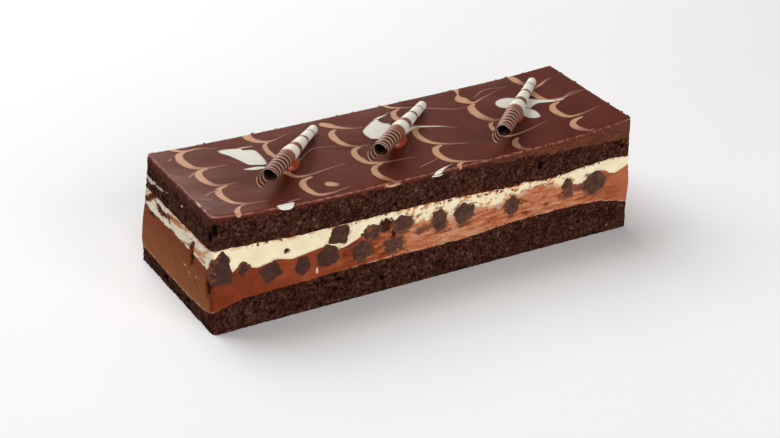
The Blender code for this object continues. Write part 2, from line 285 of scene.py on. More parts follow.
def tube_faces(around, rows):
    """Faces of a grid that closes on itself the long way; its point i, j is number i * rows + j."""
    here = np.arange(around)[:, None] * rows + np.arange(rows - 1)
    there = np.roll(np.arange(around), -1)[:, None] * rows + np.arange(rows - 1)
    return np.stack([here, there, there + 1, here + 1], -1).reshape(-1, 4).tolist()


def strip_faces(long, wide):
    """Faces of an open grid; its point i, j is number i * wide + j."""
    here = np.arange(long - 1)[:, None] * wide + np.arange(wide - 1)
    return np.stack([here, here + wide, here + wide + 1, here + 1], -1).reshape(-1, 4).tolist()


def joined(parts):
    """The points and faces of several (points, faces), as those of one mesh."""
    places, faces, start = [], [], 0
    for points, corners in parts:
        faces += [[start + corner for corner in face] for face in corners]
        places.append(points.reshape(-1, 3))
        start += len(places[-1])
    return np.concatenate(places), faces


def ball(around, rows):
    """A unit ball's points, as rows about its upright axis, and its faces."""
    turn = np.linspace(0, 2 * math.pi, around, endpoint=False)[:, None]
    climb = np.linspace(-math.pi / 2, math.pi / 2, rows)
    points = np.broadcast_arrays(np.cos(turn) * np.cos(climb), np.sin(turn) * np.cos(climb), np.sin(climb))
    return np.stack(points, -1), tube_faces(around, rows)


# ---- Marks on the cut sides ----

# Pits of each layer by side: (along, height, half width, half height, depth), in millimetres
PITS = {
    "sponge_top": {
        "front": (
            (-108, 60, 1.2, 1, 1.2), (-24, 55, 1.4, 0.9, 1.1), (75, 57, 2.2, 2, 1.8),
            (134, 57, 1.4, 1.6, 1.3), (-138, 66, 1.6, 3.4, 2.4),
        ),
        "left": ((-44, 61, 1.8, 4, 2), (20, 56, 6, 0.8, 1.2), (-10, 57, 2.4, 0.9, 1.2)),
        "back": ((40, 58, 1.6, 1.3, 1.3), (-70, 62, 1.9, 1.2, 1.4)),
        "right": ((12, 60, 1.6, 1.2, 1.2),),
    },
    "cream": {
        "front": ((-94.5, 42, 1.5, 1.4, 1.8), (-79, 47, 0.7, 0.5, 0.5), (-30, 43.6, 4.2, 3.4, 2)),
        "left": (
            (-20, 41.5, 1.6, 2.6, 1.4), (-37, 36, 1.2, 1.4, 1), (40, 49.6, 2, 0.9, 1),
            (28, 46.4, 2.6, 0.9, 1.2), (21.5, 46.2, 1.8, 0.7, 1), (15, 46.4, 1.5, 0.9, 1),
        ),
    },
    "mousse_chocolate": {
        "front": (
            (-29.5, 42.5, 5.5, 4.6, 1.6), (-25.6, 36, 1.6, 4.2, 2), (-58, 31, 1.4, 1.6, 0.5),
            (12, 30, 2, 1.2, 0.7), (66, 27.5, 3, 1.4, 0.7), (80, 30, 2.6, 1.5, 0.7),
        ),
        "left": (
            (-20, 37.5, 2.5, 5.2, 1.7), (-19, 33, 1.2, 2.4, 1.2), (10.5, 33.6, 1, 1.3, 0.8),
            (12.5, 35, 1, 1, 0.6), (-43, 29.5, 3, 5.8, 2.4), (40, 37.6, 3.6, 0.8, 1.4),
            (-25.6, 23.4, 0.9, 1, 0.8), (-14.6, 21.6, 0.6, 0.8, 0.5), (3, 25.5, 1.2, 1, 0.4),
        ),
        "back": ((-20, 33, 3, 1.6, 0.9), (62, 30, 2.4, 1.5, 0.9)),
        "right": ((-8, 29, 2.4, 1.2, 0.8),),
    },
    "sponge_bottom": {
        "front": (
            (-105, 5, 2, 1.6, 1.6), (-62, 15, 1.8, 1.4, 1.4), (-60, 8, 1, 0.9, 1),
            (-33, 8.5, 1.7, 1.4, 1.4), (31, 5, 2, 1.2, 1.4), (104, 12, 1.4, 1.2, 1.2),
        ),
        "left": ((20, 4, 4, 1.4, 1.3), (-12, 5, 3, 1.2, 1.2)),
        "back": ((10, 9, 1.8, 1.4, 1.4), (-90, 6, 1.6, 1.2, 1.3)),
        "right": ((20, 8, 1.8, 1.3, 1.3),),
    },
}


def spots(places, out, layer):
    """The depth that the layer's pits have at each place, in metres."""
    deepest = np.zeros(places.shape[:-1])
    edge = 0.45 * noise(places, 1.5, 5) + 0.3 * noise(places, 0.7, 4)
    for side, pits in PITS[layer].items():
        axis = SIDES[side][0]
        for along, up, wide, tall, depth in pits:
            across = (places[..., axis] / MM - along) / wide
            away = np.hypot(across, (places[..., 2] / MM - up) / tall) + edge
            deepest = np.maximum(deepest, depth * MM * ease(1.7 - 1.4 * away) * facing(out, side))
    return deepest


# Painted streaks of each kind by side: along and height of one end and of the other, half width
# (all in millimetres) and strength
STREAKS = {
    "white": {
        "left": (
            (46, 59.6, 40, 58.4, 1.3, 1), (40, 58.6, 34, 60.2, 1, 0.9), (32, 59.6, 24, 60.2, 0.7, 0.9),
            (-3.5, 62.4, -5.5, 62.9, 0.6, 0.8), (16, 62, 19, 61, 0.5, 0.4),
        ),
    },
    "brown": {
        "front": (
            (-9.3, 43.5, -8.4, 43.8, 0.9, 0.8), (31.5, 46.6, 33, 46.2, 0.8, 0.8),
            (56.5, 44.6, 58, 44.8, 0.7, 0.6), (44, 45.4, 45.2, 45.4, 0.6, 0.6),
        ),
        "left": (
            (52, 42.6, 44, 46.6, 2.1, 1), (44, 46.6, 38.5, 50.6, 2.2, 1),
            (38.5, 50.6, 34.5, 52.6, 2.1, 1), (36.5, 50.4, 31, 47.8, 1.1, 0.9),
            (28.8, 46.6, 25.6, 44.8, 2.7, 1), (31, 47.6, 22.6, 46.2, 1.4, 0.9),
            (22.6, 45.8, 18.6, 45.4, 1.7, 1), (18.6, 46.2, 13, 47, 1.3, 0.9),
            (15.4, 47.4, 13.6, 45, 2.1, 0.9), (13, 48.4, -4, 51.2, 0.7, 0.6),
            (-17.4, 42.5, -22, 46.4, 2, 1), (-30, 52, -43, 52.6, 0.7, 0.5),
            (-42, 38, -48, 43.5, 2.5, 1), (-45, 43, -48, 47.5, 1.8, 1), (-6, 40.6, -16, 42.6, 0.8, 0.6),
            (2, 38.6, -6, 40.4, 0.7, 0.5),
        ),
    },
    "toffee": {
        "left": (
            (12.4, 48.2, 3.6, 48.4, 1.7, 0.9), (3.6, 48.4, -4, 49.4, 1.5, 0.9),
            (-4, 49.4, -13, 51, 1.2, 0.7), (-23.5, 43.6, -29.5, 43.4, 1.9, 0.85),
            (-29.5, 44.2, -36, 45.4, 1.8, 0.7), (-30, 41.4, -37.5, 41.6, 1.2, 0.8),
            (-36, 47.4, -41, 50, 0.9, 0.7), (-27, 50.8, -44, 51.8, 0.7, 0.45),
            (45, 50.4, 38, 48, 1.2, 0.35), (34, 44.6, 30, 43.6, 0.8, 0.3),
        ),
    },
    "pale": {
        "left": (
            (-9.5, 28, -17, 26.4, 0.9, 0.4), (-11, 24.4, -19, 23.6, 0.5, 0.3),
            (-24, 27.4, -31, 29, 0.6, 0.3), (-21, 30.4, -30, 30.8, 0.4, 0.25),
        ),
    },
    "cream": {
        "front": (
            (-76.4, 24, -76.2, 26, 0.7, 1), (-63.5, 36.6, -60, 37, 1.6, 0.95),
            (45.4, 36, 46.6, 36.4, 0.9, 0.4), (84, 29.4, 90, 28.8, 0.5, 0.3),
            (22, 33.6, 30, 33.2, 0.4, 0.3), (12, 36.4, 15, 35.6, 0.8, 0.35),
        ),
    },
    # brownie: crumb of the cubes smeared on the mousse, and painted shade beside and below some cubes
    "brownie": {
        "front": (
            (-9.4, 33.4, -3, 34.4, 2.2, 0.85), (-3, 34.4, 1, 36.2, 1.8, 0.8), (2, 31.6, 8, 30.4, 1.6, 0.45),
            (-55, 34.6, -57, 36.6, 1.6, 0.6), (-38, 37.4, -36, 41.5, 1.6, 0.5),
            (44, 36.2, 48, 38.2, 1.4, 0.7), (98, 35.8, 106, 36.4, 2.2, 0.75),
            (89.5, 32.4, 94.5, 31.6, 1.6, 0.6), (-22, 33, -18.5, 28.5, 1.6, 0.5),
            (76.6, 36, 79, 36.6, 0.6, 0.5), (62, 37.4, 71, 32.6, 0.5, 0.45),
        ),
    },
}


def streaks(places, out, kind):
    """How strongly the streaks of that kind cover each place, 0 to 1."""
    total = np.zeros(places.shape[:-1])
    edge = 0.45 * noise(places, 1.2, 6) + 0.25 * noise(places, 0.6, 7)
    for side, lines in STREAKS[kind].items():
        for along, up, far_along, far_up, wide, strength in lines:
            at = places[..., [SIDES[side][0], 2]] / MM - (along, up)
            way = np.array((far_along - along, far_up - up))
            share = np.clip(at @ way / (way @ way), 0, 1)
            away = np.linalg.norm(at - share[..., None] * way, axis=-1) / wide + edge
            total = np.maximum(total, strength * ease(2.0 - 1.5 * away) * facing(out, side))
    return total


# ---- Brownie cubes: where they show, the wall stands back behind them ----

POCKET = 2.6 * MM
POCKET_EDGE = (-1.3 * MM, -2.4 * MM)  # how far inside a cube's outline the pocket starts and is deepest
CHUNK_CALM = 1.5 * MM  # how far around a cube the wall stays low
CHUNK_CALM_HEIGHT = 0.1 * MM
CHUNK_MARGIN = 2 * MM  # how far around a cube its distance is worked out
FAR = 1.0  # the distance stated past that


def chunk_outlines():
    """Each cube's node, with its side and its convex outline on that side, in the bar's frame."""
    found = {}
    for name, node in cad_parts.items():
        if name.startswith("brownie_"):
            side = name.split("_")[1]
            axis = SIDES[side][0]
            flat = {(round((v.co - SHIFT)[axis], 5), round(v.co.z, 5)) for v in node.data.vertices}
            flat = [Vector(point) for point in sorted(flat)]
            found[name] = (side, np.array([flat[i] for i in geometry.convex_hull_2d(flat)]))
    return found


OUTLINES = chunk_outlines()


def outside(points, polygon):
    """How far points lie outside a convex outline, and how deep inside it where negative."""
    ahead = np.roll(polygon, -1, axis=0) - polygon
    after = np.roll(ahead, -1, axis=0)
    normals = np.stack([ahead[:, 1], -ahead[:, 0]], -1) / np.linalg.norm(ahead, axis=1)[:, None]
    normals *= np.sign(np.sum(ahead[:, 0] * after[:, 1] - ahead[:, 1] * after[:, 0]))
    return np.max([(points - corner) @ way for corner, way in zip(polygon, normals)], axis=0)


def chunk_distance(places, out):
    """How far each place of a side is from the nearest cube that shows there."""
    nearest = np.full(places.shape[:-1], FAR)
    for side, polygon in OUTLINES.values():
        points = places[..., [SIDES[side][0], 2]]
        low, high = polygon.min(0) - CHUNK_MARGIN, polygon.max(0) + CHUNK_MARGIN
        close = np.all((points > low) & (points < high), axis=-1) & (facing(out, side) > 0)
        nearest[close] = np.minimum(nearest[close], outside(points[close], polygon))
    return nearest


# ---- Materials ----


class Look:
    """A material, with short ways to add the nodes it is made of."""

    def __init__(self, name, roughness, specular):
        self.material = bpy.data.materials.new(name)
        self.material.use_nodes = True
        self.tree = self.material.node_tree
        self.shader = self.tree.nodes["Principled BSDF"]
        self.shader.inputs["Roughness"].default_value = roughness
        self.shader.inputs["Specular IOR Level"].default_value = specular
        self.place = self.add("ShaderNodeTexCoord").outputs["Object"]

    def add(self, kind, values=None, **settings):
        node = self.tree.nodes.new(kind)
        for key, value in settings.items():
            setattr(node, key, value)
        for key, value in (values or {}).items():
            self.put(node.inputs[key], value)
        return node

    def put(self, socket, value):
        if isinstance(value, bpy.types.NodeSocket):
            self.tree.links.new(value, socket)
        else:
            socket.default_value = value

    def value(self, name):
        """A number that the mesh holds at each of its points."""
        return self.add("ShaderNodeAttribute", attribute_name=name).outputs["Fac"]

    def math(self, operation, first, second=0.0):
        return self.add("ShaderNodeMath", {0: first, 1: second}, operation=operation).outputs[0]

    def noise(self, size, detail=2.0, stretch=(1, 1, 1), rough=0.55):
        """Noise from 0 to 1 with bumps about size across, in millimetres."""
        drawn = self.add("ShaderNodeMapping", {"Vector": self.place, "Scale": tuple(1 / s for s in stretch)})
        grain = {"Vector": drawn.outputs[0], "Scale": 1 / (size * MM), "Detail": detail, "Roughness": rough}
        return self.add("ShaderNodeTexNoise", grain).outputs[0]

    def ramp(self, factor, *stops):
        """A colour that changes with factor, from rising (position, colour) stops."""
        node = self.add("ShaderNodeValToRGB", {"Fac": factor})
        marks = node.color_ramp.elements
        for mark, (at, colour) in zip(list(marks), (stops[0], stops[-1])):
            mark.position, mark.color = at, colour
        for at, colour in stops[1:-1]:
            marks.new(at).color = colour
        return node.outputs["Color"]

    def blend(self, factor, first, second):
        return self.add("ShaderNodeMix", {0: factor, 6: first, 7: second}, data_type="RGBA").outputs[2]

    def over(self, colour, **coats):
        """The colour under coats, each as strong as the mesh's value of that name."""
        for name, coat in coats.items():
            colour = self.blend(self.value(name), colour, coat)
        return colour

    def within(self, value, low, high):
        """0 at low and 1 at high, and a straight rise between them."""
        return self.add("ShaderNodeMapRange", {0: value, 1: low, 2: high}).outputs[0]

    def bump(self, height, distance, under=None):
        """Relief that is distance millimetres high, on top of another."""
        node = self.add("ShaderNodeBump", {"Height": height, "Distance": distance * MM, "Strength": 1.0})
        if under is not None:
            self.put(node.inputs["Normal"], under)
        return node.outputs["Normal"]

    def finish(self, colour, normal=None, roughness=None):
        self.put(self.shader.inputs["Base Color"], colour)
        if normal is not None:
            self.put(self.shader.inputs["Normal"], normal)
        if roughness is not None:
            self.put(self.shader.inputs["Roughness"], roughness)
        return self.material


def sponge_look():
    look = Look("sponge", 0.95, 0.03)
    grain = look.math("SUBTRACT", look.noise(1.5, detail=3, rough=0.7), 0.5)
    height = look.math("ADD", look.value("height"), look.math("MULTIPLY", grain, 2.4))
    # The colour follows the crumb's height and its grain: its holes and pits are painted in shade, its raised
    # crumbs lighter as painted highlight.
    colour = look.ramp(
        look.within(height, -1, 1),
        (0.1, srgb(16, 7, 5)), (0.36, srgb(40, 19, 12)), (0.58, srgb(64, 36, 26)), (0.8, srgb(88, 55, 42)),
        (0.97, srgb(118, 84, 68)),
    )
    colour = look.over(colour, smear=srgb(205, 196, 172))
    return look.finish(colour, look.bump(look.noise(0.5, detail=3), 0.3))


def mousse_look():
    look = Look("mousse", 0.75, 0.05)
    streaked = look.math("SUBTRACT", look.noise(1.0, detail=3, stretch=(6, 6, 1)), 0.5)
    # The tint holds painted light and shade from the relief as well as the mousse's own tone.
    pale = look.math("ADD", look.value("tint"), look.math("MULTIPLY", streaked, look.value("lines")))
    colour = look.ramp(
        pale, (0.0, srgb(104, 42, 22)), (0.3, srgb(140, 64, 36)), (0.7, srgb(188, 114, 78)),
        (1.0, srgb(206, 146, 116)),
    )
    left_end_colour = look.ramp(look.value("rise"), (0.0, srgb(150, 90, 53)), (0.95, srgb(122, 62, 33)))
    # The pits are painted in shade, as dark as they are deep.
    colour = look.over(
        colour,
        end=left_end_colour, brownie=srgb(96, 58, 46), hollow=srgb(52, 18, 10), smear=srgb(226, 204, 176),
    )
    # The brownie coat is crumb smeared from the cubes and, beside and below some cubes, painted shade.
    return look.finish(colour, look.bump(look.noise(0.5, detail=3), 0.1))


def cream_look():
    look = Look("cream", 0.75, 0.04)
    # The pits are painted in shade, as dark as they are deep.
    colour = look.over(
        look.ramp(look.noise(9), (0.3, srgb(236, 219, 180)), (0.7, srgb(247, 236, 203))),
        end=srgb(230, 221, 197), toffee=srgb(190, 112, 50), smear=srgb(96, 40, 18), hollow=srgb(76, 30, 21),
    )
    return look.finish(colour, look.bump(look.noise(1.4, detail=3), 0.15))


def ganache(look):
    """The glaze's own colour, which the marbling fades into."""
    return look.ramp(look.noise(24), (0.35, srgb(86, 33, 18)), (0.65, srgb(97, 39, 22)))


def glaze_bumps(look):
    return look.bump(look.noise(0.6), 0.012, look.bump(look.noise(7), 0.1))


def glaze_look(name, specular):
    look = Look(name, 0.28, specular)
    broken = look.within(look.noise(2.4, detail=3, rough=0.7), 0.4, 0.62)
    # The rim line is lighter: the matt cut edge of the glaze, with a painted highlight along its rounded
    # edge.
    rim = look.math("MULTIPLY", look.value("rim"), broken)
    drawn = look.noise(1.8, detail=4, stretch=(3, 3, 1), rough=0.7)
    dark = look.ramp(drawn, (0.3, srgb(58, 28, 19)), (0.72, srgb(82, 42, 29)))
    smooth = look.ramp(drawn, (0.28, srgb(74, 39, 27)), (0.75, srgb(116, 68, 48)))
    colour = look.over(ganache(look), side=look.over(dark, drag=smooth))
    # The white coat is a painted highlight along the left rim.
    colour = look.over(look.blend(rim, colour, srgb(186, 116, 94)), white=srgb(216, 190, 176))
    roughness = look.math("ADD", look.math("MULTIPLY", look.value("side"), 0.6), 0.26)
    return look.finish(colour, glaze_bumps(look), roughness)


def marbling_look(name, colour):
    """Chocolate of another colour that lies level in the glaze, and fades into it at its edges."""
    look = Look(name, 0.3, 0.35)
    deeper = tuple(0.9 * level for level in colour[:3]) + (1,)
    body = look.ramp(look.noise(4), (0.3, deeper), (0.7, colour))
    return look.finish(look.over(ganache(look), cover=body), glaze_bumps(look))


def brownie_look():
    look = Look("brownie", 0.85, 0.12)
    grain = look.noise(0.9, detail=4, rough=0.65)
    both = look.math("ADD", look.math("MULTIPLY", grain, 0.65), look.math("MULTIPLY", look.noise(3.5), 0.35))
    colour = look.over(
        look.ramp(both, (0.32, srgb(50, 31, 25)), (0.5, srgb(82, 54, 44)), (0.7, srgb(116, 82, 68))),
        shade=srgb(56, 35, 28), smear=srgb(138, 76, 50),
    )
    return look.finish(colour, look.bump(grain, 0.3))


def dab_look():
    look = Look("milk_chocolate", 0.3, 0.5)
    colour = look.ramp(look.noise(5), (0.3, srgb(140, 54, 30)), (0.7, srgb(160, 70, 42)))
    return look.finish(colour, look.bump(look.noise(2.5), 0.05))


LOOKS = {
    "sponge": sponge_look(),
    "mousse": mousse_look(),
    "cream": cream_look(),
    "glaze": glaze_look("glaze", 0.3),
    "glaze_side": glaze_look("glaze_side", 0.06),
    "brownie": brownie_look(),
    "dab": dab_look(),
}


# ---- The cut sides of the layers ----

SPONGE_SEEDS = {"sponge_bottom": 201, "sponge_top": 101}
CRUMBLY_END = (104, 90)  # x in millimetres: the front's crumbly middle starts at one and is full at the other


def crumb_relief(places, seed):
    """The torn crumb of a cut sponge."""
    coarse = 0.2 * noise(places, 5.0, seed) + 0.22 * noise(places, 1.9, seed + 1)
    fine = 0.2 * noise(places, 1.1, seed + 2)
    holes = 0.6 * pores(places, 2.1, seed + 3, 0.5) + 0.45 * pores(places, 1.3, seed + 9, 0.5)
    return (coarse + fine - holes) * MM


def sponge_values(places, out, relief, seed):
    """The height of the crumb, which its colour follows: darker in its holes and pits as painted shade and
    lighter on its raised crumbs as painted highlight; and the cream smeared on it.
    """
    fine = 0.45 * noise(places, 1.2, seed + 2) + relief / (0.9 * MM)
    return {"height": np.clip(fine + 0.1, -1, 1), "smear": streaks(places, out, "white")}


def dragged_share(places, out):
    """How much the knife dragged the mousse: much in the middle of the front, not at the left end."""
    x = places[..., 0] / MM
    dragged = rise(x, -66, -40) * (1 - 0.75 * rise(x, 108, 122)) * facing(out, "front")
    return np.maximum(dragged, 0.55 * np.maximum(facing(out, "back"), facing(out, "right")))


def chunk_halo(places, out, away):
    """Where the knife dragged a cube's crumb onto the wall around it."""
    ragged_edge = ease(0.35 + 1.8 * noise(places, 1.3, 86, (2.5, 2.5, 1)))
    near = rise(away, 1.5 * CHUNK_CALM, 0.5 * CHUNK_CALM)
    return 0.85 * near * ragged_edge * (0.25 + 0.75 * dragged_share(places, out))


def mousse_relief(places, out):
    """Smooth at the left end, and torn by the knife in the middle of the front."""
    dragged = dragged_share(places, out)
    drags = noise(places, 1.3, 51, (8, 8, 1)) + 0.8 * noise(places, 1.0, 52, (2.5, 2.5, 1))
    torn = 0.36 * drags - 0.65 * pores(places, 2.2, 53, 0.5)
    soft = 0.16 * noise(places, 7, 57) + 0.05 * noise(places, 1.2, 58)
    calm = 0.2 * pores(places, 3, 61, 0.15)
    rough = streaks(places, out, "pale") * (noise(places, 1.1, 62) - 0.3) * 0.6
    near = facing(out, "left") * rise(places[..., 1] / MM, 4, -22)
    folds = near * (0.32 * noise(places, 3.2, 59, (1, 1, 2.2)) + 0.12 * noise(places, 1.3, 60, (1, 1, 2)))
    return (soft + dragged * torn - (1 - dragged) * calm + rough + folds) * MM


def left_end(places, out):
    """1 on the left end, short of its front corner, which is cut with the front."""
    return facing(out, "left") * rise(places[..., 1] / MM, -45.2, -43.6)


def mousse_values(places, out, relief, pits, share):
    """How pale the mousse is, how streaked, what lies on it and where shade is painted on it; share is 0 at
    its foot, 1 at its top.
    """
    x = places[..., 0] / MM
    dragged = dragged_share(places, out)
    pale = 0.14 + 0.14 * rise(x, -118, -88) + 0.44 * rise(x, -42, -20) - 0.2 * rise(x, 96, 116)
    pale = np.where(facing(out, "right") + facing(out, "back") > 0, 0.42, pale)
    lines = noise(places, 0.9, 65, (9, 9, 1)) + 0.5 * noise(places, 2.4, 66, (6, 6, 1))
    # The tint is lighter on the relief's ridges and darker in its dips, painted light and shade, over the
    # mousse's own tone along the bar, its noise and its drag lines.
    tint = pale + relief / (1.8 * MM) + 0.06 * noise(places, 9, 63) + 0.24 * dragged * lines
    broken = ease(0.4 + 2.4 * noise(places, 1.3, 69))
    flecks = np.maximum(streaks(places, out, "cream"), broken * streaks(places, out, "pale"))
    lip = 0.45 * rise(share, 0.06, 0.01) * ease(0.5 + 1.5 * noise(places, 3, 67))
    lip = lip * np.maximum(facing(out, "left"), rise(x, -75, -35))
    top = 0.6 * rise(share, 0.84, 0.96) * rise(x, -20, 10) * rise(x, *CRUMBLY_END) * facing(out, "front")
    top = top * ease(0.3 + 2 * noise(places, 1.8, 68, (2, 2, 1)))
    return {
        "tint": tint,
        "lines": 0.2 + 0.6 * dragged,
        "end": left_end(places, out) * (0.9 + 0.1 * noise(places, 12, 64, (1, 1, 0.4))),
        "rise": np.broadcast_to(share, tint.shape),
        # Painted shade in the pits, by their depth.
        "hollow": np.clip(pits / (1.1 * MM), 0, 0.95),
        # Smeared crumb of the cubes, and painted shade beside and below some of them.
        "brownie": streaks(places, out, "brownie"),
        "smear": np.max([flecks, lip, top], axis=0),
    }


def cream_relief(places, out):
    calm = 0.14 * noise(places, 6, 71) + 0.09 * noise(places, 1.6, 72, (3, 3, 1))
    folds = 0.4 * noise(places, 3.4, 73, (1, 2.5, 1)) + 0.22 * noise(places, 1.5, 74, (1, 2, 1))
    return (calm + folds * facing(out, "left")) * MM


def cream_values(places, out, pits, share):
    """Toffee-coloured marks and dark smears in the cream, and painted shade in its pits; share is 0 at its
    foot and 1 at its top.
    """
    x = places[..., 0] / MM
    left, front = facing(out, "left"), facing(out, "front")
    middle = rise(x, -35, -10) * rise(x, *CRUMBLY_END) * front
    swirls = 0.5 * ease(1 - np.abs(noise(places, 7, 77, (1, 2.5, 1))) / 0.12) * left
    curled = ease(1 - np.abs(noise(places, 5, 76, (1, 3, 1))) / 0.07) * rise(share, 0.35, 0.55)
    fine = 0.6 * curled * ease(0.5 + 2 * noise(places, 6, 75)) * left
    below_sponge = mix(0.8, 0.7, middle)
    upper = mix(0.7, 0.95, middle) * rise(share, below_sponge, below_sponge + 0.2)
    upper = upper * ease(0.55 + 1.4 * noise(places, 1.9, 79))
    lower = 0.8 * middle * rise(share, 0.35, 0.1) * ease(0.4 + 1.6 * noise(places, 2.4, 80))
    mottle = 0.85 * middle * ease(1.8 * noise(places, 1.7, 85) - 0.12)
    foot = 0.3 * front * rise(share, 0.1, 0)
    return {
        # Painted shade in the pits, by their depth.
        "hollow": np.clip(pits / (1.0 * MM), 0, 1),
        "end": left_end(places, out) * (1 - 0.3 * noise(places, 4, 78, (1, 3, 1))),
        "toffee": np.max([streaks(places, out, "toffee"), swirls, upper, lower, mottle, foot], axis=0),
        "smear": np.maximum(streaks(places, out, "brown"), fine),
    }


# The glaze's lower edge: (along, height) in millimetres at the front and the left end, and the height
# at the two hidden sides
GLAZE_FOOT_FRONT = (
    (-140, 70.4), (-130, 70.2), (-120, 69.4), (-100, 68.1), (-80, 67.3), (-50, 66.8), (-20, 66.4),
    (20, 66), (40, 65), (68, 64), (84, 62.6), (110, 62), (130, 61), (140, 60),
)
GLAZE_FOOT_LEFT = ((-46.6, 69), (-34, 67.5), (-20, 66.5), (0, 66), (25, 66.5), (46.6, 68))
GLAZE_FOOT_RIGHT = 67.5
GLAZE_FOOT_BACK = 68.3


def glaze_foot(u, v, out):
    """The height of the glaze's lower edge, dragged down the sides by the knife."""
    x, y = u * LENGTH / 2 / MM, v * WIDTH / 2 / MM
    front, left = np.interp(x, *zip(*GLAZE_FOOT_FRONT)), np.interp(y, *zip(*GLAZE_FOOT_LEFT))
    ends = np.where(out[..., 0] < 0, left, GLAZE_FOOT_RIGHT)
    long_sides = np.where(out[..., 1] < 0, front, GLAZE_FOOT_BACK)
    places = on_plan(u, v)
    stray = 0.9 * noise(places, 6, 81) + 0.9 * noise(places, 2, 82)
    stray = stray * (1 + 1.4 * (out[..., 0] < -0.7))
    return (out[..., 0] ** 2 * ends + out[..., 1] ** 2 * long_sides + stray) * MM


LID_INSET = 4.0 * MM
LID_DEPTH = 0.5 * MM
UNDER_GLAZE = 0.7 * MM  # how far the top sponge stands back behind the glaze
UNDER_GLAZE_FADE = 1.0 * MM  # the height over which it steps back
SHARP = math.radians(70)  # an edge with a larger angle isn't shaded smooth


def lid_ring(x, y, height):
    """A level ring of points inside the cake, which a layer's flat lid fills."""
    return outline(2 * x / (LENGTH + 2 * LID_INSET), 2 * y / (WIDTH + 2 * LID_INSET), height)


def cut_sides(name, places, out, share):
    """The relief of a layer's cut sides and the values for its material."""
    pits = spots(places, out, name)
    if name in SPONGE_SEEDS:
        relief = crumb_relief(places, SPONGE_SEEDS[name])
        return relief - pits, sponge_values(places, out, relief - pits, SPONGE_SEEDS[name])
    if name == "cream":
        relief, smeared = cream_relief(places, out), "smear"
        values = cream_values(places, out, pits, share)
    else:
        relief, smeared = mousse_relief(places, out), "brownie"
        values = mousse_values(places, out, relief, pits, share)
        relief = relief + BULGE * 4 * share * (1 - share)
    relief = relief - pits
    away = chunk_distance(places, out)
    relief = mix(relief, np.minimum(relief, CHUNK_CALM_HEIGHT), rise(away, CHUNK_CALM, 0))
    values[smeared] = np.maximum(values[smeared], chunk_halo(places, out, away))
    return relief - POCKET * rise(away, *POCKET_EDGE), values


def make_layer(name, low, high, rows, slot):
    """A layer as a closed skin: its cut sides in relief, and plain lids inside the cake."""
    x, y = rim_path(even_lines(LENGTH, SKIN_STEP), even_lines(WIDTH, SKIN_STEP))
    u, v, out = plan(x, y)
    share = np.linspace(0, 1, rows)
    places = outline(u[:, None], v[:, None], mix(low(u, v)[:, None], high(u, v)[:, None], share))
    out = np.broadcast_to(out[:, None, :], (*places.shape[:2], 2))
    relief, values = cut_sides(name, places, out, share)
    if name == "sponge_top":
        foot = glaze_foot(u[:, None], v[:, None], out)
        relief = relief - UNDER_GLAZE * rise(places[..., 2], foot, foot + UNDER_GLAZE_FADE)
    places[..., :2] += out * relief[..., None]
    places[..., 2] = np.maximum(places[..., 2], 0)
    underside = np.max(low(u, v))
    lower = lid_ring(x, y, underside + LID_DEPTH * (underside > 0))
    upper = lid_ring(x, y, np.min(high(u, v)) - LID_DEPTH)
    places = np.concatenate([lower[:, None], places, upper[:, None]], 1)
    values = {key: np.pad(numbers, ((0, 0), (1, 1)), "edge") for key, numbers in values.items()}
    count, rows = places.shape[:2]
    faces = tube_faces(count, rows)
    faces.append(list(range(0, count * rows, rows))[::-1])
    faces.append(list(range(rows - 1, count * rows, rows)))
    piece = make_piece(name + "_cut", places, faces, LOOKS[slot], values)
    piece.data.set_sharp_from_angle(angle=SHARP)
    finish_piece(piece, slot, name)


def make_layers():
    make_layer("sponge_bottom", floor_level, sponge_level, 40, "sponge")
    make_layer("mousse_chocolate", sponge_level, mousse_level, 42, "mousse")
    make_layer("cream", mousse_level, cream_level, 24, "cream")
    make_layer("sponge_top", cream_level, sponge_reach, 42, "sponge")


# ---- The glaze, and its marbling ----

RIM = 1.1 * MM  # the radius of the glaze's upper edge
SKIRT = 0.28 * MM  # how far the glaze's side stands out of the sponge
SKIRT_FADE = 1.2 * MM  # how far below the rim it does so in full
SKIRT_ROWS = 16
LEAST_FALL = 1.0 * MM  # how far down the side reaches at least
TUCK = 0.75 * MM  # how far the side's foot turns in
GLAZE_STEP = 1.0 * MM
RIM_LINES = (0, 0.15, 0.35, 0.6, 0.85, 1.1, 1.6)  # millimetres from the edge


def graded_lines(length):
    near = np.array(RIM_LINES) * MM
    inner = even_lines(length - 2 * near[-1], GLAZE_STEP)
    return np.concatenate([near[:-1] - length / 2, inner, (length / 2 - near[:-1])[::-1]])


def from_rim(x, y):
    """How far points of the plan are from its nearest edge."""
    return np.minimum(LENGTH / 2 - np.abs(x), WIDTH / 2 - np.abs(y))


def glaze_point(x, y, over, lift=0.0):
    """Points of the glaze: x and y on the plan, and how far over the rim and down the side."""
    u, v, out = plan(x, y)
    lean = np.clip(1 - from_rim(x, y) / RIM, 0, 1)
    places = on_plan(u, v)
    wave = 0.1 * noise(places, 16, 91) + 0.035 * noise(places, 5, 92)
    z = glaze_level(u, v) + wave * MM - RIM * (1 - np.sqrt(1 - lean**2))
    points = outline(u, v, z - over)
    lift = lift * (1 + 2 * lean)
    worn = 0.22 * noise(places, 3.5, 97) + 0.12 * noise(places, 1.3, 98)
    stands_out = SKIRT * rise(over, 0, SKIRT_FADE) + (lift + worn * MM) * lean
    points[..., :2] += out * stands_out[..., None]
    points[..., 2] += lift * np.sqrt(1 - lean**2)
    return points


def drape(x, y, lift):
    """Points on the glaze; where y lies past the long rims, they run down the side."""
    inside = np.clip(y, -WIDTH / 2, WIDTH / 2)
    return glaze_point(x, inside, np.abs(y - inside), lift)


def glow(away, width):
    """1 at 0, and fading on both sides of it within about that width."""
    return np.exp(-((away / width) ** 2))


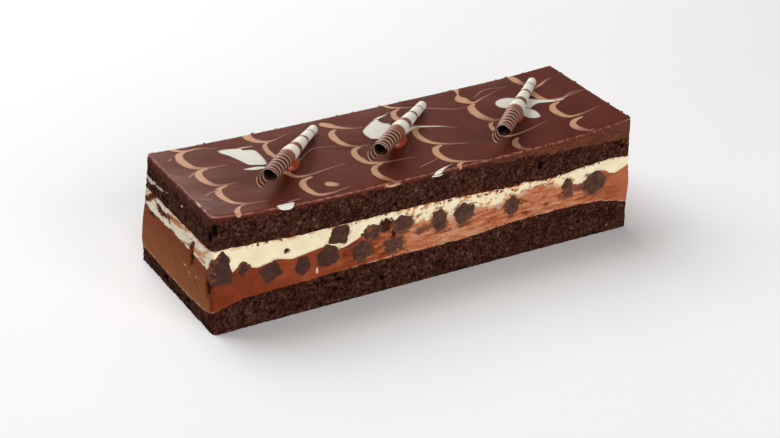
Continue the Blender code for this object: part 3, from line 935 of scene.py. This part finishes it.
def glaze_values(places, edge, down, drag):
    """Where the glaze's rim is lighter, its matt cut edge with a painted highlight, where the left rim has
    white painted highlights, and where it is dull and dragged, on its top and then its side.
    """
    at_left = places[:, 0] < -LENGTH / 2 + 3 * MM
    y = places[:, 1] / MM
    on_edge, below = glow(edge - 0.25 * MM, 0.32 * MM), glow(down + 0.2 * MM, 0.36 * MM)
    rim = np.concatenate([on_edge.ravel(), below.ravel()])
    # White painted highlights along the left rim: a spot near its front and speckles on its nearer half.
    speckled_highlight = ease(2.4 * noise(places, 2.2, 99) - 0.2) * rise(y, -4, -18)
    white = rim * at_left * np.maximum(glow(y + 29, 3), 0.6 * speckled_highlight)
    on_top = np.zeros(edge.size)
    return {
        "rim": rim * np.where(at_left, 1, 0.8),
        "white": np.clip(1.3 * white, 0, 1),
        "side": np.concatenate([on_top, rise(down, 0, 1.6 * MM).ravel()]),
        "drag": np.concatenate([on_top, np.clip(drag, 0, 1).ravel()]),
    }


def make_glaze():
    xs, ys = graded_lines(LENGTH), graded_lines(WIDTH)
    grid_x, grid_y = np.meshgrid(xs, ys, indexing="ij")
    top = glaze_point(grid_x, grid_y, np.zeros(grid_x.shape))
    x, y = rim_path(xs, ys)
    u, v, out = plan(x, y)
    start = glaze_point(x, y, np.zeros(x.shape))
    fall = np.maximum(start[:, 2] - glaze_foot(u, v, out), LEAST_FALL)
    share = np.linspace(0, 1, SKIRT_ROWS + 1)[1:]
    down = fall[:, None] * share
    side = glaze_point(x[:, None], y[:, None], down)
    drawn = 0.12 * noise(side, 1.8, 93, (2, 2, 1)) + 0.1 * noise(side, 4, 94)
    relief = drawn * MM * np.sin(share * math.pi) - TUCK * rise(share, 0.8, 1)
    side[..., :2] += out[:, None] * relief[..., None]
    places = np.concatenate([top.reshape(-1, 3), side.reshape(-1, 3)])
    left = facing(out, "left")[:, None]
    drag = np.maximum(rise(side[..., 0] / MM, 15, 65), 0.1 * left) + 0.4 * noise(side, 9, 96, (1, 1, 0.3))
    number = np.arange(grid_x.size).reshape(grid_x.shape)
    ring = np.concatenate([number[:-1, 0], number[-1, :-1], number[:0:-1, -1], number[0, :0:-1]])
    columns = np.column_stack([ring, grid_x.size + np.arange(down.size).reshape(down.shape)])
    after = np.roll(columns, -1, axis=0)
    quads = np.stack([columns[:, :-1], columns[:, 1:], after[:, 1:], after[:, :-1]], -1)
    top_faces = strip_faces(*grid_x.shape)
    faces = [*top_faces, *quads.reshape(-1, 4).tolist(), columns[:, -1].tolist()[::-1]]
    values = glaze_values(places, from_rim(grid_x, grid_y), down, drag)
    piece = make_piece("glaze_top", places, faces, LOOKS["glaze"], values)
    piece.data.materials.append(LOOKS["glaze_side"])
    on_side = np.arange(len(faces)) >= len(top_faces)
    piece.data.polygons.foreach_set("material_index", on_side.astype(np.int32))
    piece.data.set_sharp_from_angle(angle=SHARP)
    finish_piece(piece, "glaze", "glaze")


# Feathered strokes, in millimetres on the plan: (x of the belly, y of the top, y of the foot,
# reach of the upper arm, x and y of the tail's end, half width of the belly)
HOOKS = (
    (-125.5, 39.8, 15.2, 7.5, -102.5, 13.8, 2.8), (-124.3, 14.3, -10, 9.5, -107, -9.2, 2.5),
    (-123, -11, -35.2, 9, -100.5, -37, 2.3), (-73.5, 31, 4, 5, -58, 2, 1.8),
    (-75.5, 2, -18.6, 5, -50, -15, 2.2), (-74.2, -20, -44, 10, -50, -40.5, 2.4),
    (-30.3, 28.6, 3.5, 6, -14, 1, 2.4), (-29.3, 1.8, -22, 8, 2, -24.5, 2.3),
    (-29, -23.2, -46, 9, -20, -47.5, 2.3), (16, 36.8, 11, 8, 32, 8, 2.2),
    (16.3, 8.7, -15.5, 6, 39, -23, 2.4), (15, -18.2, -41, 8, 38, -47, 2.5),
    (63.2, 21.8, -4, 6, 76, -4.5, 3.1), (61.5, -5.3, -28.3, 5, 97, -20, 1.8),
    (108.5, 22.5, 1, 4, 137, 3, 2.3), (107.3, -1.8, -24.5, 9, 133, -21.5, 2.4),
    (106.4, -27, -45, 11, 115, -44, 2.4),
)
# Strokes that are no hook: points of (x, y, half width). A y past the rim runs down the side
TAN_STROKES = (
    ((-124.5, 48, 1.8), (-123.6, 44, 1.9), (-119, 40.6, 1.1), (-109, 40.6, 0.7), (-99, 36.5, 0.3)),
    ((-123.6, -47.6, 2), (-123.2, -45.2, 1.9), (-122, -42, 1.4), (-118, -38, 0.8), (-112, -36, 0.4)),
    ((-76.2, 48, 2.9), (-76.2, 40, 2.8), (-72.5, 34.2, 1.9), (-66, 32, 1), (-53, 36.5, 0.3)),
    ((-61.8, -31, 2.2), (-58.4, -33.4, 2.7), (-55, -35.9, 2.2)),
    ((-29.7, 40.5, 2.2), (-26.2, 36.3, 3.2), (-22.2, 31.2, 1.7), (-15, 26, 0.9), (-8, 24, 0.3)),
    ((18.5, 48, 1.3), (18.8, 42.5, 1.6), (23, 39, 1.1), (34, 34.5, 0.8)),
    ((18.4, -47.4, 1.7), (20.4, -44.2, 1.3), (25, -42.8, 0.5)),
    ((69.3, 48, 3), (68.3, 43, 1.6), (66.4, 38, 0.5), (64.8, 34.2, 2.4), (64.8, 30.6, 4.2),
     (66.6, 26, 2.4), (70, 23.6, 1), (78, 27, 0.5), (96, 34, 0.2)),
    ((69, -30.3, 0.8), (64.6, -34, 1.9), (62.6, -39.4, 2.3), (63.6, -44.4, 1.8), (68, -46.4, 0.6)),
    ((108.5, 48, 1.6), (109, 41, 2.7), (109.6, 34, 2.2), (112, 27, 1.4)),
    ((112, 22.4, 1.2), (119, 25, 1), (125, 28.4, 0.9), (130, 30, 0.3)),
    ((-30.5, -46.9, 0.6), (-26, -47.7, 0.9), (-21, -47.2, 0.6)),
)
WHITE_STROKES = (
    ((-88, 31, 0.6), (-84, 31, 0.5), (-79, 30, 0.3)),
    ((2.4, 29.4, 1.1), (6.5, 31.3, 0.9), (11.6, 33, 0.5), (17.1, 36.2, 0.25)),
    ((19, 11, 1.5), (22, 10.2, 1.2), (26.2, 8, 0.8), (34.4, 4.4, 0.5), (43.5, -2.9, 0.25)),
    ((114, 1.2, 1.3), (118, 0, 0.8), (121, 0.6, 0.4), (124, 2.8, 0.2)),
    ((1.5, -47.2, 0.5), (5.5, -46.3, 0.9), (9.6, -44.7, 0.8), (13.5, -43.2, 0.5), (17, -41.7, 0.25)),
    ((0, -47.8, 0.4), (4, -48.2, 0.5), (7.5, -47.8, 0.3)),
)
FAINT_STROKES = (
    ((-132.5, 30.7, 0.4), (-131.4, 32.2, 0.6), (-130.2, 33.9, 0.4)),
    ((-130.6, 6.2, 0.5), (-127, 9.2, 0.8), (-124.3, 11.6, 0.4)),
    ((-132, -19.3, 0.4), (-127, -16.6, 0.6), (-121, -14.7, 0.4)),
    ((-64.6, -1, 0.5), (-60, 3, 0.5), (-49.3, 11.6, 0.5), (-39.3, 10.3, 0.3), (-24, 3, 0.2)),
    ((-66, -18, 0.5), (-52, -15.2, 0.5), (-39.3, -13.8, 0.3)),
    ((-91, -43, 0.6), (-87, -42.4, 0.6), (-82, -41.8, 0.3)),
    ((35.9, 32.3, 0.4), (45.2, 26.7, 0.6), (54.5, 21.2, 0.5), (64.6, 19.9, 0.3)),
    ((73.4, 30.3, 0.3), (85.1, 36.4, 0.5), (99.8, 33.2, 0.3)),
    ((-2.9, -37.7, 0.3), (9.7, -33.2, 0.5), (13.6, -30.8, 0.3)),
    ((118.6, 0.2, 0.8), (121, 0.8, 0.8), (125.3, 3.5, 0.7), (130, 4.9, 0.6), (134.4, 4.4, 0.5),
     (138.9, 2.5, 0.3)),
)
# White patches: the point that all of a patch can be seen from, and its outline, in millimetres
WHITE_PATCHES = (
    ((-89, 18), (-99.3, 33.9), (-87.5, 31.4), (-86.5, 28.5), (-80.2, 25.3), (-79.3, 18), (-80.2, 8),
     (-82, 4.8), (-87, 6.4), (-91.5, 8.9), (-94.7, 18), (-97.5, 25.3), (-100.6, 30.7)),
    ((-90, 2.9), (-97, 4.4), (-94.4, 5), (-88, 4.6), (-83.6, 2.6), (-82.6, 0.8), (-86, 0.8), (-91.4, 1.4)),
    ((-4, 15), (-12, 14.4), (-11.1, 18.9), (-8.8, 21.8), (-5.6, 24.4), (1.6, 29.6), (4.8, 30.6), (4.9, 27),
     (6.2, 23.9), (8.9, 20.7), (6, 12), (-2, 5), (-10.2, 7.1), (-11.6, 10)),
    ((12, 8), (10, 3.8), (17.1, 11.9), (21.2, 11.2), (22.5, 9.6), (17, 7.4)),
    ((87, 12.6), (81.4, 17.6), (86, 20), (91, 19.6), (96, 16.4), (98.9, 13.8), (97, 7), (92, 5.6),
     (86, 5.8), (81, 8.8), (79.6, 13.4)),
    ((100, 6.2), (96, 11.4), (99.4, 12.7), (102.5, 11.8), (106.2, 8.2), (111.6, 3.7), (115.6, 1.4),
     (115.3, -0.6), (109.8, 1.4), (104.4, 3.3), (98.9, 1.4), (96.2, -0.2), (94, 4)),
    ((92, -6), (92.4, 3.8), (95.9, -0.8), (97.3, -6.3), (96.4, -11.4), (95.2, -13.6), (91.3, -13.4),
     (88.1, -10.5), (87.1, -5.7), (88.5, -0.6)),
    ((-94.2, -46), (-99.5, -45.6), (-98.4, -44.8), (-94, -44.4), (-90.4, -44.2), (-88, -44.6),
     (-88.6, -46.2), (-90.6, -47.6), (-94, -48.1), (-98, -47)),
)
STROKE_STEP = 0.5 * MM
STROKE_LIFT = 0.04 * MM
STROKE_ACROSS = np.array((-1, -0.8, -0.4, 0, 0.4, 0.8, 1))  # points of its width, as shares of the half width
BLUNTEST = 0.02  # how narrow a stroke is at its very ends
FADE_LENGTH = 20 * MM  # only strokes of about this length fade towards their tails
SHEET = 0.001 * MM  # how much higher each stroke or patch lies than the one before
FIRST_PATCH = 10  # sheets up
PATCH_RINGS = np.array((1, 0.97, *np.linspace(0.93, 0.02, 14)))
PATCH_SKIP = 5  # points past the outline's first corner before it can have come round to it again


def hook_points(belly, top, foot, arm, tail_x, tail_y, wide):
    """A feathered stroke: a thin arm, a full belly and a long tail."""
    tall = top - foot
    heel = belly + 3.2
    return (
        (belly + arm, top, 0.3 * wide),
        (belly + 0.32 * arm, top - 0.1 * tall, 0.75 * wide),
        (belly, top - 0.35 * tall, wide),
        (belly + 0.4, top - 0.65 * tall, 0.95 * wide),
        (heel, foot + 0.1 * tall, 0.68 * wide),
        (mix(heel, tail_x, 0.35), mix(foot, tail_y, 0.35), 0.4 * wide),
        (mix(heel, tail_x, 0.7), mix(foot, tail_y, 0.7), 0.27 * wide),
        (tail_x, tail_y, 0.1 * wide),
    )


def smooth_line(points):
    """Points of a smooth curve through the given ones, about STROKE_STEP apart."""
    ends = [2 * points[0] - points[1], *points, 2 * points[-1] - points[-2]]
    line = []
    for before, start, end, after in zip(ends, ends[1:], ends[2:], ends[3:]):
        count = max(2, round(np.linalg.norm((end - start)[:2]) / STROKE_STEP))
        t = np.linspace(0, 1, count, endpoint=False)[:, None]
        square = 2 * before - 5 * start + 4 * end - after
        cube = 3 * start - before - 3 * end + after
        line.append(start + ((end - before) * t + square * t**2 + cube * t**3) / 2)
    return np.concatenate([*line, points[-1:]])


def lay_stroke(points, lift, fading):
    """A stroke's points on the glaze, and how much of it covers the glaze."""
    line = smooth_line(np.array(points) * MM)
    middle, half = line[:, :2], line[:, 2]
    run = np.gradient(middle, axis=0)
    run /= np.linalg.norm(run, axis=1)[:, None]
    length = np.concatenate([[0], np.cumsum(np.linalg.norm(np.diff(middle, axis=0), axis=1))])
    for gone, wide in ((length, half[0]), (length[-1] - length, half[-1])):
        half = half * np.sqrt(1 - (1 - np.clip(gone / max(wide, STROKE_STEP), BLUNTEST, 1)) ** 2)
    wobble = 1 + 0.1 * noise(on_plan(middle[:, 0] / LENGTH, middle[:, 1] / WIDTH), 1.5, 95)
    aside = (half * wobble)[:, None] * STROKE_ACROSS
    x = middle[:, 0, None] - run[:, 1, None] * aside
    y = middle[:, 1, None] + run[:, 0, None] * aside
    worn = 1 - fading * rise(length[-1], 0, FADE_LENGTH) * rise(length / length[-1], 0.45, 0.85)
    return drape(x, y, lift), worn[:, None] * rise(np.abs(STROKE_ACROSS), 1, 0.8)


def lay_patch(middle, corners, lift):
    """A patch of marbling from its outline, as rings about its middle, and how much it covers the glaze."""
    loop = np.array([*corners, *corners[:3]]) * MM
    line = smooth_line(np.column_stack([loop, np.zeros(len(loop))]))[:, :2]
    away = np.linalg.norm(line - loop[1], axis=1)
    first = np.argmin(away)
    last = first + PATCH_SKIP + np.argmin(away[first + PATCH_SKIP :])
    line, middle = line[first:last], np.array(middle) * MM
    flat = middle + (line - middle)[:, None] * PATCH_RINGS[:, None]
    return drape(flat[..., 0], flat[..., 1], lift), np.broadcast_to(rise(PATCH_RINGS, 1, 0.9), flat.shape[:2])


def make_marbling(name, strokes, patches, colour, lift, fading):
    parts, covers = [], []
    for number, stroke in enumerate(strokes):
        places, cover = lay_stroke(stroke, lift + number * SHEET, fading)
        parts.append((places, strip_faces(*cover.shape)))
        covers.append(cover.ravel())
    for number, (middle, *corners) in enumerate(patches, FIRST_PATCH):
        places, cover = lay_patch(middle, corners, lift + number * SHEET)
        parts.append((places, tube_faces(*cover.shape)))
        covers.append(cover.ravel())
    piece = make_piece(name, *joined(parts), marbling_look(name, colour), {"cover": np.concatenate(covers)})
    finish_piece(piece, "glaze")


# ---- Brownie cubes ----

CHUNK_GRAIN = 0.6 * MM
CHUNK_SMOOTHING = 4
CHUNK_PROUD = 0.35 * MM
CHUNK_GROWTH = 1.1 * MM  # how far the crumb spreads past the solid's sides
SPREAD = {"brownie_front_02": 2.2, "brownie_front_08": 1.8}  # these spread that many times as far
CORNER_CHUNK = "brownie_front_01"
CORNER_STRETCH = 1.1  # drawn out to reach the bar's corner
SMEAR = 0.12  # how much mousse is smeared over a cube, apart from these
SMEARED = {
    "brownie_front_08": 0.9, "brownie_front_10": 0.6, "brownie_front_12": 0.9, "brownie_front_13": 0.9,
    "brownie_front_14": 0.6,
}
CHUNK_SEED = 400
CHUNK_SEED_STEP = 11


def even_mesh(name):
    """A cube's solid as points, normals and faces, meshed anew in small even squares."""
    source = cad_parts[name].data.copy()
    source.transform(Matrix.Translation(-SHIFT))
    rough = bpy.data.objects.new("rough", source)
    bpy.context.scene.collection.objects.link(rough)
    even = rough.modifiers.new("even", "REMESH")
    even.mode = "VOXEL"
    even.voxel_size = CHUNK_GRAIN
    rough.modifiers.new("worn", "SMOOTH").iterations = CHUNK_SMOOTHING
    fine = bpy.data.meshes.new_from_object(rough.evaluated_get(bpy.context.evaluated_depsgraph_get()))
    bpy.data.objects.remove(rough)
    places = np.array([corner.co for corner in fine.vertices])
    normals = np.array([corner.normal for corner in fine.vertices])
    return places, normals, [list(face.vertices) for face in fine.polygons]


def make_chunk(name, side, polygon, seed):
    """A cube with a cut crumb, smeared at its edges."""
    places, normals, faces = even_mesh(name)
    relief = 0.16 * noise(places, 2.6, seed) + 0.14 * noise(places, 1.0, seed + 1)
    relief -= 0.35 * pores(places, 1.6, seed + 2, 0.4)
    places += normals * relief[:, None] * MM
    axis, way = SIDES[side]
    way = np.array((*way, 0))
    sideways = normals - (normals @ way)[:, None] * way
    places += way * CHUNK_PROUD + sideways * CHUNK_GROWTH * SPREAD.get(name, 1)
    if name == CORNER_CHUNK:
        right = places[:, 0].max()
        places[:, 0] = right + CORNER_STRETCH * (places[:, 0] - right)
    smear = SMEARED.get(name, SMEAR) * ease(2 * noise(places, 2.6, seed + 5, (2, 2, 1)) - 0.7)
    edge = 0.55 * rise(outside(places[:, [axis, 2]], polygon), -0.81 * MM, 0.09 * MM)
    edge = edge * ease(0.5 + 1.5 * noise(places, 2.2, seed + 7))
    shade = 0.6 * rise(places[:, 0] / MM, -30, -80) * (side == "front")
    values = {"smear": np.maximum(smear, edge), "shade": shade}
    finish_piece(make_piece(name + "_cube", places, faces, LOOKS["brownie"], values), "brownie", name)


def make_chunks():
    for number, (name, (side, polygon)) in enumerate(sorted(OUTLINES.items())):
        make_chunk(name, side, polygon, CHUNK_SEED + CHUNK_SEED_STEP * number)


# ---- Curls and dabs ----

# Each curl: its mouth and its tip on the plan, in millimetres
CURLS = (
    ((-92.7, -23.1), (-38.1, 30.8)),
    ((-20.3, -21.6), (36.8, 30.6)),
    ((57.0, -32.8), (114.3, 27.2)),
)
CURL_RADIUS = 4.6 * MM
CURL_STAGES = ((28, 5.0), (33, 4.9), (44, 4.0), (58, 3.2), (70, 2.9))  # millimetres along, and radius
CURL_TIP_RADIUS = 2.7 * MM
CURL_TIP_ROUND = (1.2, 0.7)  # millimetres along and inwards that the very tip is rounded by
CURL_LIFT = 4.5 * MM
CURL_GAP = 0.3 * MM
CURL_SHEET = 0.3 * MM
CURL_SLACK = 0.25 * MM  # how far its outer turn stands off the solid
CURL_FLARE = 0.07  # how much it widens for each step out past the mouth
CURL_PITCH = 0.42 * MM  # how far the sheet winds out at each turn
CURL_HELIX = 6.4  # how far a stripe moves along the curl in a turn, in millimetres
CURL_PRINTED = 75.3 * MM  # the length that the stripes are printed for
CURL_TOP = 720  # the degrees at which the print lies as far along as the stripes say
CURL_POINTS = (150, 110)  # around its turns, and along it
CURL_SHADE_TURN = (500, 440)  # the degrees, and the millimetres along, from which painted shade darkens its inside
CURL_SHADE_DEPTH = (-1.5, 2.5)
STRIPE_PITCH = 4.1
STRIPE_START = -1.5
STRIPES_END = (21, 20.4)
CURL_WHITE = srgb(240, 236, 220)
# The print: millimetres from and to along the curl, and the colour there. In between, they blend
CURL_PRINT = (
    (-20, 20.3, srgb(92, 50, 36)), (21, 26.2, srgb(142, 88, 66)), (28, 35.6, CURL_WHITE),
    (36.6, 40.6, srgb(132, 80, 58)), (41.8, 51.9, CURL_WHITE), (52.6, 54.4, srgb(116, 74, 54)),
    (55.3, 63.8, CURL_WHITE), (64.6, 65.8, srgb(186, 158, 138)), (66.6, 80, CURL_WHITE),
)
# The mouth's edge: degrees clockwise from the top, seen from the mouth, and millimetres along
CURL_MOUTH = (
    (195, -10.5), (240, -11.5), (270, -10.5), (300, -5.5), (330, -4.2), (360, -3.5), (420, -3), (450, -1),
    (480, 0.5), (510, 1.5), (555, 0), (630, -4), (690, -3.5), (720, -3), (780, -2.5), (835, -1.5),
)
# Each dab: millimetres along its curl from the mouth, and to the front side
DABS = ((31.3, 2.0), (28.1, 1.5), (35.5, 0.0))
DAB_HALF = (8.0 * MM, 4.6 * MM, 4.2 * MM)
DAB_CENTRE_UP = 1.0 * MM
DAB_SUNK = 0.2 * MM
DAB_POINTS = (48, 26)  # around it, and from its foot to its top
DAB_SEED = 300


def surface_below(x, y):
    return float(glaze_level(2 * x / LENGTH, 2 * y / WIDTH))


def curl_matrix(mouth, tip):
    """The curl's own frame: Z from its mouth to its tip, Y up and X to its back side."""
    ends = []
    for (x, y), radius, lift in ((mouth, CURL_RADIUS, CURL_LIFT), (tip, CURL_TIP_RADIUS, CURL_GAP)):
        x, y = x * MM, y * MM
        ends.append(Vector((x, y, surface_below(x, y) + radius + lift)))
    run = (ends[1] - ends[0]).normalized()
    aside = run.cross(Vector((0, 0, 1))).normalized()
    up = aside.cross(run)
    placed = Matrix((-aside, up, run)).transposed().to_4x4()
    placed.translation = ends[0]
    return placed, (ends[1] - ends[0]).length


def curl_look(number, length):
    """White chocolate with brown bands, fine pale stripes on brown towards the mouth, and painted shade deep
    inside it.
    """
    look = Look(f"curl_{number}", 0.45, 0.3)
    along = look.math("DIVIDE", look.value("along"), length / CURL_PRINTED)
    low, high = CURL_PRINT[0][0], CURL_PRINT[-1][1]
    stops = [((at - low) / (high - low), colour) for *ends, colour in CURL_PRINT for at in ends]
    bands = look.ramp(look.within(along, low, high), *stops)
    phase = look.math("FRACT", look.math("DIVIDE", look.math("SUBTRACT", along, STRIPE_START), STRIPE_PITCH))
    crest = look.math("ABSOLUTE", look.math("SUBTRACT", phase, 0.5))
    striped = look.math("MULTIPLY", look.within(crest, 0.3, 0.42), look.within(along, *STRIPES_END))
    # The inside coat is painted shade deep in the rolled tube.
    colour = look.over(look.blend(striped, bands, srgb(200, 164, 140)), inside=srgb(34, 15, 10))
    return look.finish(colour, look.bump(look.noise(1.5), 0.05))


def make_curl(number, mouth, tip):
    """A sheet rolled about the curl's axis, whose inner turn reaches out past the mouth."""
    placed, length = curl_matrix(mouth, tip)
    degrees, starts = zip(*CURL_MOUTH)
    around = np.linspace(degrees[0], degrees[-1], CURL_POINTS[0])[:, None]
    along = mix(np.interp(around, degrees, starts) * MM, length, np.linspace(0, 1, CURL_POINTS[1]))
    end, thin = length / MM, CURL_TIP_RADIUS / MM
    tip_stages = ((end - CURL_TIP_ROUND[0], thin), (end, thin - CURL_TIP_ROUND[1]))
    outer = np.interp(along / MM, *zip((0, CURL_RADIUS / MM), *CURL_STAGES, *tip_stages)) * MM
    outer = outer + CURL_SLACK + CURL_FLARE * np.maximum(0, -along)
    wound = (degrees[-1] - around) / 360
    radius = outer - CURL_SHEET - CURL_PITCH * wound
    turns = np.radians(around)
    local = np.stack([-radius * np.sin(turns), radius * np.cos(turns), along], -1)
    places = local @ np.array(placed.to_3x3()).T + np.array(placed.translation)
    values = {
        "along": along / MM - CURL_HELIX * ((around - CURL_TOP) / 360),
        # Painted shade on the inner turn, deep in the tube.
        "inside": rise(around, *CURL_SHADE_TURN) * rise(along / MM, *CURL_SHADE_DEPTH),
    }
    faces = strip_faces(*along.shape)
    piece = make_piece(f"curl_{number}_rolled", places, faces, curl_look(number, length), values)
    thick = piece.modifiers.new("sheet", "SOLIDIFY")
    thick.thickness = CURL_SHEET
    thick.offset = 1
    finish_piece(piece, "white_chocolate", f"curl_{number}")
    return placed


def make_dab(number, placed, along, forward):
    """The glossy dab of chocolate that a curl lies on."""
    run = placed.to_3x3() @ Vector((0, 0, 1))
    heading = math.atan2(run.y, run.x)
    aside = Vector((math.sin(heading), -math.cos(heading), 0))
    middle = placed @ Vector((0, 0, along * MM)) + aside * forward * MM
    unit, faces = ball(*DAB_POINTS)
    lump = unit * np.array(DAB_HALF) * (1 + 0.05 * noise(unit * MM, 0.8, DAB_SEED + number))[..., None]
    places = lump @ np.array(Matrix.Rotation(heading, 3, "Z")).T
    places[..., :2] += np.array(middle.xy)
    glaze = glaze_level(2 * places[..., 0] / LENGTH, 2 * places[..., 1] / WIDTH)
    places[..., 2] = glaze + np.maximum(-DAB_SUNK, places[..., 2] + DAB_CENTRE_UP)
    piece = make_piece(f"dab_{number}_drop", places, faces, LOOKS["dab"])
    finish_piece(piece, "milk_chocolate", f"dab_{number}")


def make_curls():
    for number, (curl, dab) in enumerate(zip(CURLS, DABS), 1):
        make_dab(number, make_curl(number, *curl), *dab)


# ---- Loose crumbs, and lumps of glaze along the far rims ----

# Side, millimetres from and to along it, how many, and the radius of the largest
RIM_LUMPS = (
    ("back", -138, 138, 110, 1.3), ("right", -44, 44, 40, 1.2), ("left", -44, 44, 16, 0.8),
    ("front", -60, 138, 50, 0.8),
)
RIM_LUMP_SEED = 900
# Side, millimetres from and to along it, how many, the line that they lie near, how far off it
CRUMB_BANDS = (
    ("front", -5, 96, 44, CREAM_TOP[0], 1.3),
    ("front", -135, 138, 34, CREAM_TOP[0], 1.0),
    ("front", -60, 120, 30, SPONGE_TOP[0], 2.0),
    ("back", -135, 135, 40, CREAM_TOP[2], 1.4),
)
CRUMB_SEED = 500
LUMP_POINTS = (8, 6)  # around each lump, and from its foot to its top


def lumps(middles, sizes, seed):
    """The points and faces of small uneven lumps, as those of one mesh."""
    unit, faces = ball(*LUMP_POINTS)
    parts = []
    for number, (middle, size) in enumerate(zip(middles, sizes), seed):
        uneven = 1 + 0.35 * noise((unit + number) * MM, 0.7, number)
        parts.append((middle + size * unit * uneven[..., None], faces))
    return joined(parts)


def make_rim_lumps():
    """Small lumps where the glaze was cut or touched at its edge."""
    pick = np.random.default_rng(9)
    middles, sizes = [], []
    for side, start, end, count, largest in RIM_LUMPS:
        axis, way = SIDES[side]
        reach = (LENGTH if axis else WIDTH) / 2 * sum(way)
        for _ in range(count):
            along = pick.uniform(start, end) * MM
            sizes.append(pick.uniform(0.3, largest) * MM)
            x, y = (reach, along) if axis else (along, reach)
            middles.append(glaze_point(np.array([x]), np.array([y]), pick.uniform(0, 1.2) * MM)[0])
    places, faces = lumps(middles, sizes, RIM_LUMP_SEED)
    # The lumps take some of the rim's colour: its lighter cut edge with its painted highlight.
    piece = make_piece("rim_lumps", places, faces, LOOKS["glaze"], {"rim": np.full(len(places), 0.35)})
    finish_piece(piece, "glaze")


def make_crumbs():
    """Sponge crumbs that the knife dragged onto the cream and the mousse."""
    pick = np.random.default_rng(4)
    middles, sizes = [], []
    for side, start, end, count, line, stray in CRUMB_BANDS:
        v = SIDES[side][1][1]
        for _ in range(count):
            along, size = pick.uniform(start, end), pick.uniform(0.25, 0.75) * MM
            up = (np.interp(along, *zip(*line)) + pick.normal(0, stray)) * MM
            middles.append(outline(2 * along * MM / LENGTH, v, up) + np.array((0, v * 0.3 * size, 0)))
            sizes.append(size)
    smear = np.repeat(pick.uniform(0.3, 1, len(sizes)), math.prod(LUMP_POINTS))
    piece = make_piece("crumbs", *lumps(middles, sizes, CRUMB_SEED), LOOKS["brownie"], {"smear": smear})
    finish_piece(piece, "brownie")


# ---- The studio ----

VIEW_AZIMUTH, VIEW_ELEVATION = -28.3066, 27.2827
VIEW_DISTANCE = 1296.97 * MM
VIEW_TARGET = Vector((14.558, 31.807, 0)) * MM
LENS_PIXELS, PICTURE_WIDTH, SENSOR = 2054.86, 780, 36.0
LIGHTS = (  # name, place and size in metres, power in watts and colour
    ("key", (-0.5, 1.1, 1.5), (1.7, 1.7), 33, (1, 1, 1)),
    ("front", (-0.05, -1.8, 0.9), (2.0, 1.0), 27, (1, 1, 1)),
    ("sheen", (0.7, 1.9, 0.42), (0.9, 0.45), 6.4, (1, 0.78, 0.68)),
)
SKY_STRENGTH = 0.12
FLOOR_REACH = 8.0  # metres each way


def make_camera():
    across, up = math.radians(VIEW_AZIMUTH), math.radians(VIEW_ELEVATION)
    back = Vector((math.sin(across) * math.cos(up), -math.cos(across) * math.cos(up), math.sin(up)))
    data = bpy.data.cameras.new("camera")
    data.sensor_width = SENSOR
    data.lens = LENS_PIXELS / PICTURE_WIDTH * SENSOR
    camera = bpy.data.objects.new("camera", data)
    camera.location = VIEW_TARGET + SHIFT + back * VIEW_DISTANCE
    camera.rotation_euler = back.to_track_quat("Z", "Y").to_euler()
    bpy.context.scene.collection.objects.link(camera)
    bpy.context.scene.camera = camera


def make_light(name, place, size, power, colour):
    data = bpy.data.lights.new(name, "AREA")
    data.shape = "RECTANGLE"
    data.size, data.size_y = size
    data.energy = power
    data.color = colour
    light = bpy.data.objects.new(name, data)
    light.location = place
    light.rotation_euler = Vector(place).to_track_quat("Z", "Y").to_euler()
    bpy.context.scene.collection.objects.link(light)


def make_studio():
    look = Look("floor", 0.8, 0.1)
    colour = look.ramp(look.noise(400), (0.3, srgb(250, 250, 250)), (0.7, srgb(253, 253, 253)))
    corners = FLOOR_REACH * np.array([(-1, -1, 0), (1, -1, 0), (1, 1, 0), (-1, 1, 0)])
    floor = make_piece("floor", corners, [(0, 1, 2, 3)], look.finish(colour), smooth=False)
    world = bpy.data.worlds.new("studio")
    world.use_nodes = True
    sky = world.node_tree.nodes["Background"].inputs
    sky["Color"].default_value = (1, 1, 1, 1)
    sky["Strength"].default_value = SKY_STRENGTH
    bpy.context.scene.world = world
    for light in LIGHTS:
        make_light(*light)
    bpy.context.scene.view_settings.view_transform = "Standard"


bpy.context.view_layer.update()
make_camera()
make_layers()
make_glaze()
tan_strokes = [hook_points(*hook) for hook in HOOKS] + list(TAN_STROKES)
make_marbling("marbling_tan", tan_strokes, (), srgb(206, 157, 121), STROKE_LIFT, 0.7)
make_marbling("marbling_faint", FAINT_STROKES, (), srgb(160, 118, 100), 1.5 * STROKE_LIFT, 0.6)
make_marbling("marbling_white", WHITE_STROKES, WHITE_PATCHES, srgb(238, 236, 220), 2 * STROKE_LIFT, 0.85)
make_chunks()
make_curls()
make_crumbs()
make_rim_lumps()
make_studio()
